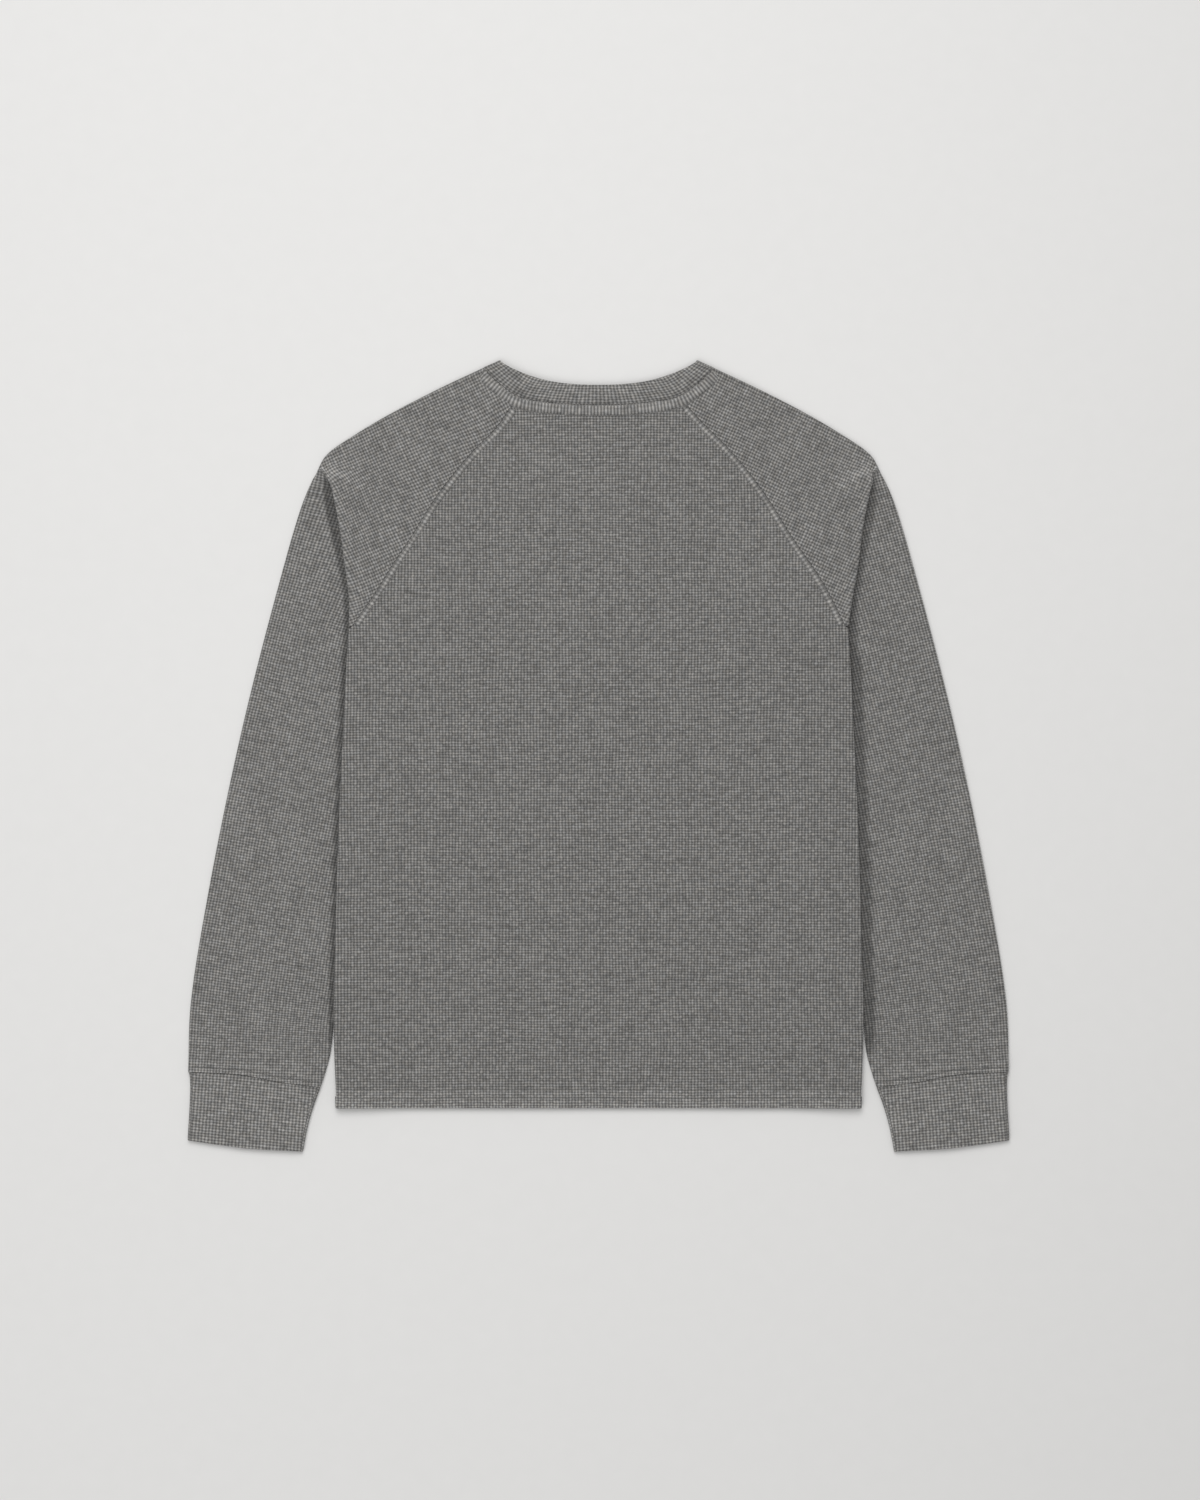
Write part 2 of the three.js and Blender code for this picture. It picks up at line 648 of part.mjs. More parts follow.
// Neckband: rows round the neck, each from the seam to the folded top.

function bandShares(name) {
  const sleeve = SLEEVE_COLUMNS.map((share) => sleeveNeckShare(share, name));
  const body = [...BODY_COLUMNS].reverse().map((share) => bodyNeckShare(share, name));
  const half = [...sleeve, raglanAt[name], ...body];
  const otherHalf = half.slice(0, -1).reverse();
  return [...half, ...otherHalf.map((u) => 1 - u)];
}

function bandRow(u, name, place) {
  const wall = { cloth: BAND_CLOTH, air: AIR };
  const seam = neckSeam[name].getPointAt(u).addScaledVector(rightOf(neckSeam[name], u), SEAM / 2);
  const inset = (BAND_CLOTH + AIR / 2) / bandTop[name].getLength();
  const start = sleeveNeckShare(0, name);
  const top = bandTop[name].getPointAt(lerp(inset, 1 - inset, (u - start) / (1 - 2 * start)));
  const up = top.clone().sub(seam).setLength(EDGE_ROUND);
  top.sub(up);
  const places = [...BAND_ROWS, 1].map((row) => place(tubeOver(seam.clone().lerp(top, row), wall)));
  return [...places, roundedEdge(places.at(-1), up)];
}

function neckband() {
  const flat = (name, layer) =>
    bandShares(name).map((u) => bandRow(u, name, (tube) => flatPlace(tube, layer)));
  const start = sleeveNeckShare(0, "back");
  const turn = (u, away) =>
    TURN_ANGLES.map((angle) => bandRow(u, "back", (tube) => turnedPlace(tube, away, angle)));
  const away = leftOf(overarm, 0);
  const leftTurn = turn(1 - start, new THREE.Vector3(-away.x, away.y, 0));
  const rightTurn = turn(start, away).reverse();
  const rows = [...flat("back", 1), ...leftTurn, ...flat("front", -1).reverse(), ...rightTurn];
  return clothWall(rows, { ring: true });
}

function mirrored(geometry) {
  const other = geometry.clone().scale(-1, 1, 1);
  other.setIndex([...geometry.index.array].reverse());
  other.computeVertexNormals();
  return other;
}

function piece(name, geometry) {
  const mesh = new THREE.Mesh(geometry, new THREE.MeshStandardMaterial(GREY));
  mesh.name = name;
  return mesh;
}

const thermalTop = new THREE.Group();
const rightSleeve = sleeve();
const rightCuff = cuff();
thermalTop.add(piece("back_panel", panel("back", 1)));
thermalTop.add(piece("front_panel", panel("front", -1)));
thermalTop.add(piece("sleeve_right", rightSleeve));
thermalTop.add(piece("sleeve_left", mirrored(rightSleeve)));
thermalTop.add(piece("cuff_right", rightCuff));
thermalTop.add(piece("cuff_left", mirrored(rightCuff)));
thermalTop.add(piece("neckband", neckband()));

export default thermalTop;
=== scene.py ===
"""A long-sleeved thermal top with raglan sleeves in waffle knit, laid flat with its back upwards.

The pattern and the cloth are worked out in millimetres, as a cutter would, and each piece becomes
a Blender mesh in metres. X runs across the body, Y from the hem to the neck, and Z up from the
table. Every tube of the garment is pressed flat: layer 1 is its upper cloth, the back, and layer
-1 its lower cloth, the front.
"""

import math

import bpy
import numpy as np
from bpy.props import FloatProperty, FloatVectorProperty, PointerProperty
from bpy.types import Operator, Panel, PropertyGroup
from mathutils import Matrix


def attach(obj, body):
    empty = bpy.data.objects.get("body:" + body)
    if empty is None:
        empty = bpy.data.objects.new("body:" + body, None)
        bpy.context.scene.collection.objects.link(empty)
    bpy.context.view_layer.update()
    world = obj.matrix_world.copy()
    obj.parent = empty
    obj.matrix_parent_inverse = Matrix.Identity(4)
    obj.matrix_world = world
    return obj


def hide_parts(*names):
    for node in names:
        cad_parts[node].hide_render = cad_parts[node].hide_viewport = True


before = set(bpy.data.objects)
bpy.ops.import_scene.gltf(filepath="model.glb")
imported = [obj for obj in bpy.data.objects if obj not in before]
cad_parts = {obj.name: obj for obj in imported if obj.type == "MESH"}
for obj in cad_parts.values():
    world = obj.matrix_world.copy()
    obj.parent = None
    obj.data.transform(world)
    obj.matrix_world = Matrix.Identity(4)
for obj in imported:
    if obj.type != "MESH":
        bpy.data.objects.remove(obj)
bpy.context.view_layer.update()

bl_info = {
    "name": "Waffle Knit Thermal Top",
    "version": (1, 0, 0),
    "blender": (4, 5, 0),
    "location": "View3D > Sidebar > Thermal Top",
    "description": "Builds a raglan thermal top in waffle knit, laid flat, with its sewing and a studio",
    "category": "Add Mesh",
}

MM = 0.001

# The cloth, and the space between pieces of it.
CLOTH = 1.2  # one layer of waffle knit
DOUBLE_CLOTH = 2.2  # the turned hem and the folded cuffs, pressed
BAND_CLOTH = 2.0  # the folded neckband, pressed
AIR = 0.8  # between the two layers of a flat tube
SEAM = 0.3  # between two pieces that are sewn together
SEAM_ROLL = 0.55  # how far the cloth rolls down into a seam
EDGE_ROUND = 0.6  # how far a folded edge is rounded off

# The hem, and how far from each doubled edge the layers beside it are held apart.
HEM_Y = -330
HEM_DEPTH = 11
HEM_FADE = 45
NECK_Y = 310
NECK_REACH = 125
NECK_FADE = 70
CUFF_FADE = 0.06

# The pleat that turns each sleeve down. It grows from nothing at the point of the shoulder.
FOLD_RADIUS = 1.9
FULL_FOLD_AT = 32
FOLD_AT_SHOULDER = 0.002
LENGTH_AT_SHOULDER = 0.5
HIDDEN_SLANT = 0.48
HIDDEN_START = 0.6

# How the cloth comes down off what it lies on.
SLOPE = 90
SHELF = 8
SHELF_SHARE = 0.2
SLOPE_SHARE = 0.8

# The sleeve's lengthwise ridges follow this line, near its outer edge.
SLEEVE_GRAIN = [
    (243, 352),
    (276, 240.5),
    (303.5, 146.5),
    (336.5, 15),
    (367, -135),
    (382.5, -235),
    (386, -296),
    (388, -400),
]

# Half outlines from the neck outwards, each row x and y. The other half is their mirror image.
OVERARM = [
    (108.5, 363.5),
    (155, 341.5),
    (203.5, 316),
    (237, 295.5),
    (250, 286.5),
    (257.5, 279),
    (262, 270.5),
    (276, 240.5),
    (303.5, 146.5),
    (336.5, 15),
    (367, -135),
    (382.5, -235),
    (384.5, -296),
]
SHOULDER_ROW = 6
FOLD_LINE = [
    (253.2, 266.5),
    (247.2, 254),
    (243.2, 236),
    (238.7, 212),
    (234.8, 178),
    (232.3, 150),
    (230.5, 121.5),
]
SIDE_EDGE = [
    (233.4, 119),
    (235.5, 90),
    (239.5, 15),
    (243, -60),
    (246.3, -172),
    (248, -250),
    (245.3, HEM_Y),
]
UNDERARM_SEAM_END = [(247, -240), (250, -269), (251.8, -281), (256.2, -297), (260.6, -310.5)]
CUFF_SEAM = [(384.5, -296), (336, -298.5), (299, -305.5), (260.6, -310.5)]
CUFF_END = [(385, -360), (355, -364.5), (327, -368), (277, -370.6)]
CUFF_PULL = 2.0  # how far both edges of a cuff are drawn in

# The neckband's seam, its folded edge and the raglan seam: x and y on the back, then on the front.
NECK = [
    (108.5, 363.5, 108.5, 363.5),
    (104.8, 360.3, 106.2, 359),
    (94.2, 349.8, 104, 330),
    (74.9, 337, 91, 299),
    (51.6, 332.1, 66, 273),
    (26.8, 329.7, 34, 259.5),
    (0, 329.2, 0, 256),
]
RAGLAN_ROW = 3
BAND_TOP = [
    (93, 370.5, 93, 370.5),
    (90, 368.3, 90.6, 366.5),
    (82.5, 364, 86, 338),
    (66, 357, 74, 310),
    (47, 351.5, 53.5, 290),
    (26, 348.5, 28, 279),
    (0, 347.5, 0, 276),
]
RAGLAN = [
    (74.9, 337, 91, 299),
    (98, 311.5, 109, 281),
    (124, 285.5, 131, 256),
    (154, 248, 156, 223),
    (179, 208, 180, 190),
    (204, 169, 205, 157),
    (230.5, 121.5, 230.5, 121.5),
]

# A seam or a fold gives its bow to the lines beside it, as a power of their share of the way.
BOW = {"neck": 2, "fold": 4, "pleat": 3, "cuff": 6, "panel_edge": 4, "own_seam": 2}
NECK_SHARE = 0.2  # of the way to the shoulder, over which a layer leaves its own neck seam's line
CORNER_CURL = 0.5  # where a square end passes into a curled one

# The sewing, measured from each seam.
STRIP_START = 0.4  # the covered seam allowance below the neckband
STRIP_WIDTH = 11
STRIP_RISE = 0.75
STRIP_SQUARE = 3.5  # how square its section is
STRIP_SUNK = 0.2  # below the cloth at its two edges
STRIP_WALES = 2.6  # the ridges that run along it
STRIP_SHADOW_LINE = (2.8, 1.6)  # from its lower edge, where the broken line of painted shadow begins and is full
RAGLAN_BAND_START = 0.6
RAGLAN_BAND_WIDTH = 5.6
RAGLAN_BAND_RISE = 0.5
RAGLAN_BAND_SQUARE = 3
RAGLAN_BAND_SUNK = 0.15
RAGLAN_BAND_WALES = 1.1
RAGLAN_BAND_ENDS = (0.045, 0.99)  # shares of the raglan seam
RAGLAN_STITCH_ENDS = (0.05, 0.975)
CUFF_ROW = 4.4  # the topstitching above the cuff's seam
CUFF_SEWING_Y = -200  # the sleeve's cloth above this has no sewing for the cuff
CUFF_EDGE_RISE = 0.25  # between the seam and the stitches
CUFF_PUFF_RISE = 0.3  # above them
CUFF_PUFF_AT = 4
CUFF_PUFF_WIDTH = 3.0
CUFF_SEAM_LINE = 0.9
HEM_ROWS = (9.6, 17.2)  # the two rows of stitches above the hem's fold
NEEDLE_INSET = 0.9  # from each edge of the neck strip to its row of stitches
RAGLAN_INSET = 0.8
THREAD_SINK = 0.45  # of a groove's depth, below the cloth beside it
GROOVE_WIDTH = 0.75
GROOVE_DEPTH = 0.4
HEM_GROOVE_DEPTH = 0.24

# The tone of each piece's yarn, as a share of the body's. The left sleeve's is a touch lighter than the
# right's: painted light.
CLOTH_TONE = {
    "back": 1.0,
    "front": 1.0,
    "sleeve_right": 1.05,
    "sleeve_left": 1.055,
    "cuff": 1.155,
    "neckband": 1.15,
}

# How much lighter the cloth is at its sewing, or darker below 0. The shade in its grooves and seams and
# the highlights on its raised cloth are painted.
ROW_SHADE = -0.36  # painted shade where a row of stitches draws it down
HEM_TONE = 0.19
# painted highlight along the hem's rounded fold
HEM_FOLD_HIGHLIGHT = 0.1
# painted shade where the cloth rolls down into the cuff's seam
CUFF_SEAM_SHADE = -0.28
CUFF_EDGE_HIGHLIGHT = 0.24  # painted highlight between the cuff's seam and its stitches, where the cloth is raised
CUFF_PUFF_HIGHLIGHT = 0.12  # painted highlight where the sleeve swells above them
# painted shade where the neckband rolls down into its seam
NECK_SEAM_SHADE = -0.2
NECKBAND_FOOT_TONE = -0.1  # on the neckband near its seam
STRIP_SHADOW_TONE = -0.62  # painted shadow: the broken line along the strip's lower edge
RAGLAN_EDGE_TONE = 0.16  # on the sleeve, right beside the seam
RAGLAN_LINE_SHADE = -0.12  # and painted shade in a groove a little further, and at the raglan band's far edge
RAGLAN_BAND_TONE = 1.1

# The light on the point of the shoulder, along the top of the fold and in a streak beside them.
POINT_LIGHT = 0.16
RIM_LIGHT = 0.24
STREAK_LIGHT = 0.32
STREAK_MIDDLE = (239, 263)
STREAK_ALONG = (0.85, 0.53)
STREAK_ASIDE = (-0.53, 0.85)

# How far the knit strays from straight lines, in stitches: slowly, and at each stitch.
DRIFT = 1.3
SHAKE = 0.46

# How unevenly the yarn is coloured: the weights of a stitch, a streak, the fibres and a patch.
HEATHER = (0.36, 0.7, 1.1, 0.12)
HEATHER_RANGE = (0.73, 1.55)
HEATHER_TONES = (0.52, 1.48)
COOL_TINT = (0.985, 0.995, 1.015, 1)
WARM_TINT = (1.02, 1.0, 0.975, 1)

# The shadow on the sleeves beside the body: y, then its width on the right and on the left.
SHADE_WIDTH = [
    (-300, -2, -2),
    (-288, 4, 2),
    (-270, 10, 4.6),
    (-250, 11, 4.6),
    (-150, 10.8, 4.6),
    (-50, 9.2, 4.6),
    (70, 11, 5.2),
    (105, 8.8, 4.8),
    (145, 6.2, 4.4),
    (185, 6.4, 6.3),
    (209, 8, 8.8),
    (225, 9.4, 10.6),
    (240, 9, 10),
    (256, 6.5, 7.5),
    (266, 1, 1),
]
SHADE_SOFT = 1.6  # half the width over which its edge fades
SHADE_DEPTH = {"right": 0.49, "left": 0.59}  # how much of the light it keeps off
OWN_SHADE = (0.25, 0.6)  # the share that the body casts by itself: at its side, and by the fold
OWN_SHADE_REACH = 1.8

# The yoke lies a little askew: how far its left seam and its right fold are moved, and over what width.
SKEW_SEAM = 4.8
SKEW_FOLD = 5.2
SKEW_REACH = 28
SKEW_MIDDLE = 60  # each grows over this distance from the middle of the body
SEAM_SKEW_Y = (112, 165, 304, 337)  # where the seam's begins, is full, fades and is least
SEAM_SKEW_LOSS = 0.9  # of it, towards the neck
SEAM_SKEW_WAY = (0.81, -0.59)
FOLD_SKEW_Y = (112, 190, 254, 268)
FOLD_SKEW_EDGE = (1, 16)  # from the sleeve's outer edge, which stays where it is

# Soft unevenness of the upper cloth: wavelength, direction in degrees, phase and height.
RIPPLES = [
    (170, 15, 0.4, 0.11),
    (118, 68, 2.1, 0.1),
    (83, -35, 4.0, 0.08),
    (61, 102, 1.2, 0.06),
    (44, 40, 5.1, 0.035),
    (31, -70, 3.3, 0.02),
]
# Creases: middle x and y, direction in degrees, half length, half width, and rise, or fall below 0.
CREASES = [
    (232, 262, -52, 26, 6, 0.3),
    (221, 250, -47, 34, 7, -0.25),
    (-230, 264, 234, 24, 6, 0.32),
    (-214, 246, 222, 36, 8, -0.28),
    (150, 318, -20, 45, 9, 0.16),
    (-140, 322, 203, 50, 9, 0.14),
    (70, 312, -14, 30, 7, -0.26),
    (-58, 311, 12, 34, 7, -0.28),
    (6, 308, 0, 24, 6, 0.16),
    (196, 168, 58, 40, 8, 0.22),
    (-192, 160, 124, 44, 8, 0.2),
    (205, 96, 14, 44, 10, -0.22),
    (-200, 84, -12, 50, 11, -0.22),
    (120, -60, 34, 85, 18, 0.2),
    (-95, -130, -28, 95, 20, 0.2),
    (60, 120, -8, 110, 20, -0.18),
    (-20, -262, 4, 120, 16, 0.16),
    (340, -250, -10, 30, 7, 0.26),
    (-335, -262, 14, 28, 7, 0.28),
    (322, -120, 66, 60, 9, -0.22),
    (-318, -60, 112, 66, 9, -0.22),
    (296, 60, -30, 36, 8, 0.2),
    (-292, 96, 28, 34, 8, 0.2),
    (300, -285, -6, 22, 5, -0.24),
    (-310, -283, 5, 24, 5, -0.24),
]
RELIEF_BASE = 0.45  # what the ripples and creases rise and fall from
RELIEF_TOP = 1.2
RELIEF_FADE = 9  # from an edge where the layers meet

# The directions of the knit, in degrees: the sleeve's from the neck to the pleat, and the cuff's.
RAGLAN_GRAIN = -24.5
CUFF_GRAIN = -84.5

CURVE_STEPS = 60  # in each span of a curve
EDGE_STEPS = 5  # round the last of a layer, up to its seam
TURN_ANGLES = np.radians([72, 54, 36, 18, 0, -18, -36, -54, -72])
FOLD_STEPS = 10  # in each half turn of the pleat
SHARP_ANGLE = math.radians(50)  # a crease in the cloth's shading, and not a round

# How closely rows and columns lie: the length they share out, their spacing at its edges, and inside.
PANEL_EDGE = 0.9  # a panel's spacing at its sides
PANEL_SPACING = {"back": 4.6, "front": 7.5}
SLEEVE_ACROSS = (150, 0.7, 4.6)
RAGLAN_STEPS = (1, 0.006, 0.0185, 0.2)
TUBE_STEPS = (1, 0.0016, 0.0095, 0.12)
CUFF_LINES = 18  # the sleeve's last rows, above the cuff's seam
CUFF_LINE_STEP = 0.0011
CUFF_LINE_GAP = 0.0008
CUFF_ACROSS = (120, 1.2, 4.0)
BAND_AT_SLEEVE = (35, 1.5, 3.0)
BAND_AT_BODY = (76, 1.5, 3.0)


# Curves on the table


class PatternCurve:
    """A smooth curve through points of the pattern, measured by its own length."""

    def __init__(self, points):
        at = np.asarray(points, float)
        at = np.vstack([2 * at[0] - at[1], at, 2 * at[-1] - at[-2]])
        share = np.linspace(0, 1, CURVE_STEPS, endpoint=False)[:, None]
        spans = [self.span(*at[n : n + 4], share) for n in range(len(at) - 3)]
        self.line = np.vstack([*spans, at[-2:-1]])
        self.reach = np.insert(np.cumsum(np.linalg.norm(np.diff(self.line, axis=0), axis=1)), 0, 0)
        self.length = self.reach[-1]

    @staticmethod
    def span(before, start, end, after, t):
        gaps = [(before, start), (start, end), (end, after)]
        first, middle, last = (math.sqrt(np.linalg.norm(b - a)) for a, b in gaps)
        leaving = (start - before) / first - (end - before) / (first + middle)
        leaving = (leaving + (end - start) / middle) * middle
        arriving = (end - start) / middle - (after - start) / (middle + last)
        arriving = (arriving + (after - end) / last) * middle
        ends = (2 * t**3 - 3 * t**2 + 1) * start + (3 * t**2 - 2 * t**3) * end
        return ends + (t**3 - 2 * t**2 + t) * leaving + (t**3 - t**2) * arriving

    def at(self, share):
        distance = np.asarray(share, float) * self.length
        return np.stack([np.interp(distance, self.reach, axis) for axis in self.line.T], -1)

    def along(self, share):
        step = 1e-3
        low = np.clip(np.asarray(share, float) - step, 0, 1)
        high = np.clip(np.asarray(share, float) + step, 0, 1)
        return unit(self.at(high) - self.at(low))

    def left(self, share):
        along = self.along(share)
        return np.stack([-along[..., 1], along[..., 0]], -1)

    def share_of_point(self, row):
        return self.reach[row * CURVE_STEPS] / self.length

    def nearest(self, points, samples=140):
        """How far each point is from the curve, and how far along the curve that is."""
        line = self.at(np.linspace(0, 1, samples))
        nearest = np.full(points.shape[:-1], np.inf)
        reach = np.zeros(points.shape[:-1])
        step = self.length / (samples - 1)
        for n, (start, end) in enumerate(zip(line[:-1], line[1:])):
            along = end - start
            share = np.clip((points - start) @ along / (along @ along), 0, 1)
            distance = np.linalg.norm(points - start - share[..., None] * along, axis=-1)
            closer = distance < nearest
            nearest = np.where(closer, distance, nearest)
            reach = np.where(closer, (n + share) * step, reach)
        return nearest, reach


def unit(vectors):
    return vectors / np.maximum(np.linalg.norm(vectors, axis=-1, keepdims=True), 1e-12)


def lerp(start, end, share):
    return start + (end - start) * share


def smoothstep(value, low, high):
    share = np.clip((value - low) / (high - low), 0, 1)
    return share * share * (3 - 2 * share)


def bell(distance, width):
    """1 at no distance, and falling away to 0 on both sides."""
    return np.exp(-((distance / width) ** 2))


def raised(points, z=0.0):
    """Points or directions of the table as points in space."""
    points = np.asarray(points, float)
    heights = np.broadcast_to(np.asarray(z, float), points.shape[:-1])
    return np.concatenate([points, heights[..., None]], -1)


def layer_rows(table, layer):
    columns = slice(0, 2) if layer == "back" else slice(2, 4)
    return [row[columns] for row in table]


def across_the_neck(table, layer):
    half = layer_rows(table, layer)
    return PatternCurve([*half, *[(-x, y) for x, y in half[-2::-1]]])


overarm = PatternCurve(OVERARM)
sleeve_grain = PatternCurve(SLEEVE_GRAIN)
side_edge = PatternCurve(SIDE_EDGE)
cuff_seam = PatternCurve(CUFF_SEAM)
cuff_end = PatternCurve(CUFF_END)
raglan = {layer: PatternCurve(layer_rows(RAGLAN, layer)) for layer in ("back", "front")}
neck_seam = {layer: across_the_neck(NECK, layer) for layer in ("back", "front")}
band_top = {layer: across_the_neck(BAND_TOP, layer) for layer in ("back", "front")}
raglan_at = {layer: curve.share_of_point(RAGLAN_ROW) for layer, curve in neck_seam.items()}


# The pleat: down and under, back in, and out again


TUBE_REACH = CLOTH + AIR / 2
shoulder_at = overarm.share_of_point(SHOULDER_ROW)
SHOULDER = overarm.at(shoulder_at) - TUBE_REACH * overarm.left(shoulder_at)
fold_line = PatternCurve([SHOULDER, *FOLD_LINE])
fold_inset = TUBE_REACH / fold_line.length
pleat_at_shoulder = 2 * math.pi * FOLD_RADIUS * LENGTH_AT_SHOULDER + HIDDEN_START
pleat_end_at = shoulder_at + pleat_at_shoulder / overarm.length


def pleat_sizes(distance):
    grown = smoothstep(distance, 0, FULL_FOLD_AT)
    turn = math.pi * np.maximum(FOLD_AT_SHOULDER, grown)
    radius = math.pi * FOLD_RADIUS * lerp(LENGTH_AT_SHOULDER, 1, grown) / turn
    flat = HIDDEN_START + HIDDEN_SLANT * np.maximum(0, distance - FULL_FOLD_AT)
    flat_out = flat * np.cos(turn)
    flat_down = flat * np.sin(turn)
    drop = 2 * radius * (1 - np.cos(turn)) + flat_down
    return turn, radius, flat_out, flat_down, drop


def pleat_plan(share, lower, step):
    """One line of the pleat, at shares of the fold line and a step of its upper or lower fold."""
    start = fold_line.at(share)
    turn, radius, flat_out, flat_down, drop = pleat_sizes(np.linalg.norm(start - SHOULDER, axis=-1))
    angle = ((1 - step) if lower else step) * turn
    out = radius * np.sin(angle)
    down = radius * (1 - np.cos(angle))
    if lower:
        out = 2 * radius * np.sin(turn) + flat_out - out
        down = 2 * radius * (1 - np.cos(turn)) + flat_down - down
    outward = fold_line.left(share)
    at = start + outward * out[..., None]
    return {"start": start, "outward": outward, "at": at, "down": down, "angle": angle, "drop": drop}


def pleat_end(share):
    return pleat_plan(share * (1 - fold_inset), True, 1)["at"]


underarm_seam = PatternCurve([pleat_plan(np.array(1.0), True, 1)["at"], *UNDERARM_SEAM_END])


# How high the cloth is carried over what lies beneath it


def lifting_areas():
    shares = np.linspace(0, 1, 15) ** 1.6
    inner_fold = pleat_plan(shares, True, 0)["at"]
    outer_fold = pleat_plan(shares, False, 0)["at"]
    below_shoulder = overarm.at(np.linspace(1, 0, 25))
    below_shoulder = below_shoulder[below_shoulder[:, 1] < SHOULDER[1]]
    underarm = underarm_seam.at(np.linspace(0, 1, 9))
    sleeve = np.vstack([inner_fold, underarm, cuff_end.at([1, 0]), below_shoulder])
    return np.vstack([inner_fold, outer_fold[::-1]]), sleeve


PLEAT_AREA, SLEEVE_AREA = lifting_areas()


def distance_outside(x, y, area):
    nearest = np.full(x.shape, np.inf)
    inside = np.zeros(x.shape, bool)
    for start, end in zip(area, np.roll(area, -1, axis=0)):
        along = end - start
        length = max(along @ along, 1e-9)
        share = np.clip(((x - start[0]) * along[0] + (y - start[1]) * along[1]) / length, 0, 1)
        away = np.hypot(x - start[0] - share * along[0], y - start[1] - share * along[1])
        nearest = np.minimum(nearest, away)
        if start[1] != end[1]:
            crossing = start[0] + (y - start[1]) / along[1] * along[0]
            inside ^= ((start[1] > y) != (end[1] > y)) & (x < crossing)
    return np.where(inside, 0, nearest)


def lift(x, y):
    across = np.abs(x)
    from_shoulder = np.hypot(across - SHOULDER[0], y - SHOULDER[1])
    shelf = np.minimum(SHELF, SHELF_SHARE * from_shoulder)
    slope = np.maximum(np.minimum(SLOPE, SLOPE_SHARE * from_shoulder), 1e-6)
    carried = sum(
        1 - smoothstep(distance_outside(across, y, area), shelf, shelf + slope)
        for area in (PLEAT_AREA, SLEEVE_AREA)
    )
    return pleat_sizes(from_shoulder)[-1] / 2 * carried


def air_beside(doubled):
    return 2 * doubled + AIR - 2 * CLOTH


def air_at(points):
    x, y = points[..., 0], points[..., 1]
    at_neck = 1 - smoothstep(np.hypot(x, y - NECK_Y), NECK_REACH, NECK_REACH + NECK_FADE)
    at_hem = 1 - smoothstep(y, HEM_Y + HEM_DEPTH, HEM_Y + HEM_DEPTH + HEM_FADE)
    at_neck = at_neck * (air_beside(BAND_CLOTH) - AIR)
    return AIR + at_neck + at_hem * (air_beside(DOUBLE_CLOTH) - AIR)


def relief(points):
    """The ripples and creases of the upper cloth, never below the solid that it lies on."""
    x, y = points[..., 0], points[..., 1]
    height = np.full(x.shape, RELIEF_BASE)
    for wavelength, direction, phase, rise in RIPPLES:
        turn = math.radians(direction)
        across = x * math.cos(turn) + y * math.sin(turn)
        height += rise * np.sin(2 * math.pi * across / wavelength + phase)
    for middle_x, middle_y, direction, length, width, rise in CREASES:
        turn = math.radians(direction)
        along = (x - middle_x) * math.cos(turn) + (y - middle_y) * math.sin(turn)
        across = (y - middle_y) * math.cos(turn) - (x - middle_x) * math.sin(turn)
        across = across + 0.12 * width * np.sin(along / (0.4 * length))
        height += rise * bell(along, length) * bell(across, width)
    return np.clip(height, 0, RELIEF_TOP)


def skewed(points):
    """Points moved along the table with the skewed yoke."""
    x, y = points[..., 0], points[..., 1]
    plan = np.stack([np.abs(x), y], -1)
    from_seam, _ = raglan["back"].nearest(plan, 40)
    from_fold, _ = fold_line.nearest(plan, 40)
    from_edge, _ = overarm.nearest(plan, 80)
    begin, full, fade, least = SEAM_SKEW_Y
    along_seam = smoothstep(y, begin, full) * (1 - SEAM_SKEW_LOSS * smoothstep(y, fade, least))
    seam = SKEW_SEAM * along_seam * bell(from_seam, SKEW_REACH) * smoothstep(-x, 0, SKEW_MIDDLE)
    begin, full, fade, least = FOLD_SKEW_Y
    along_fold = smoothstep(y, begin, full) * (1 - smoothstep(y, fade, least))
    fold = SKEW_FOLD * along_fold * bell(from_fold, SKEW_REACH) * smoothstep(x, 0, SKEW_MIDDLE)
    moved = np.array(points, float)
    moved[..., 0] += SEAM_SKEW_WAY[0] * seam + fold * smoothstep(from_edge, *FOLD_SKEW_EDGE)
    moved[..., 1] += SEAM_SKEW_WAY[1] * seam
    return moved


# Flat tubes of cloth


class Tube:
    """The middle of a flat tube's two layers, the way up from it, the cloth and the air inside."""

    def __init__(self, middle, up, cloth, air):
        self.middle = middle
        self.up = up
        self.cloth = np.broadcast_to(np.asarray(cloth, float), middle.shape[:-1])[..., None]
        self.air = np.broadcast_to(np.asarray(air, float), middle.shape[:-1])[..., None]
        self.reach = self.air / 2 + self.cloth

    def part(self, index):
        air, cloth = self.air[..., 0], self.cloth[..., 0]
        return Tube(self.middle[index], self.up[index], cloth[index], air[index])

    def flat(self, layer):
        outer = self.middle + layer * self.reach * self.up
        return outer, self.middle + layer * self.air / 2 * self.up

    def turned(self, away, angle):
        """A place on the round of an outer edge, where one layer turns into the other."""
        ray = away * math.cos(angle) + self.up * math.sin(angle)
        return self.middle + self.reach * ray, self.middle + self.air / 2 * ray


def tube_over(points, cloth=CLOTH, air=None):
    x, y = points[..., 0], points[..., 1]
    air = air_at(points) if air is None else air
    span = 0.5
    slope_x = (lift(x + span, y) - lift(x - span, y)) / (2 * span)
    slope_y = (lift(x, y + span) - lift(x, y - span)) / (2 * span)
    up = unit(np.stack([-slope_x, -slope_y, np.ones_like(x)], -1))
    rise = np.broadcast_to(np.asarray(cloth + air / 2), x.shape)[..., None]
    return Tube(raised(points, lift(x, y)) + up * rise, up, cloth, air)


def tube_on_table(points, cloth=CLOTH, air=AIR):
    up = np.broadcast_to(np.array([0.0, 0.0, 1.0]), (*points.shape[:-1], 3))
    return Tube(raised(points, cloth + np.asarray(air) / 2), up, cloth, air)


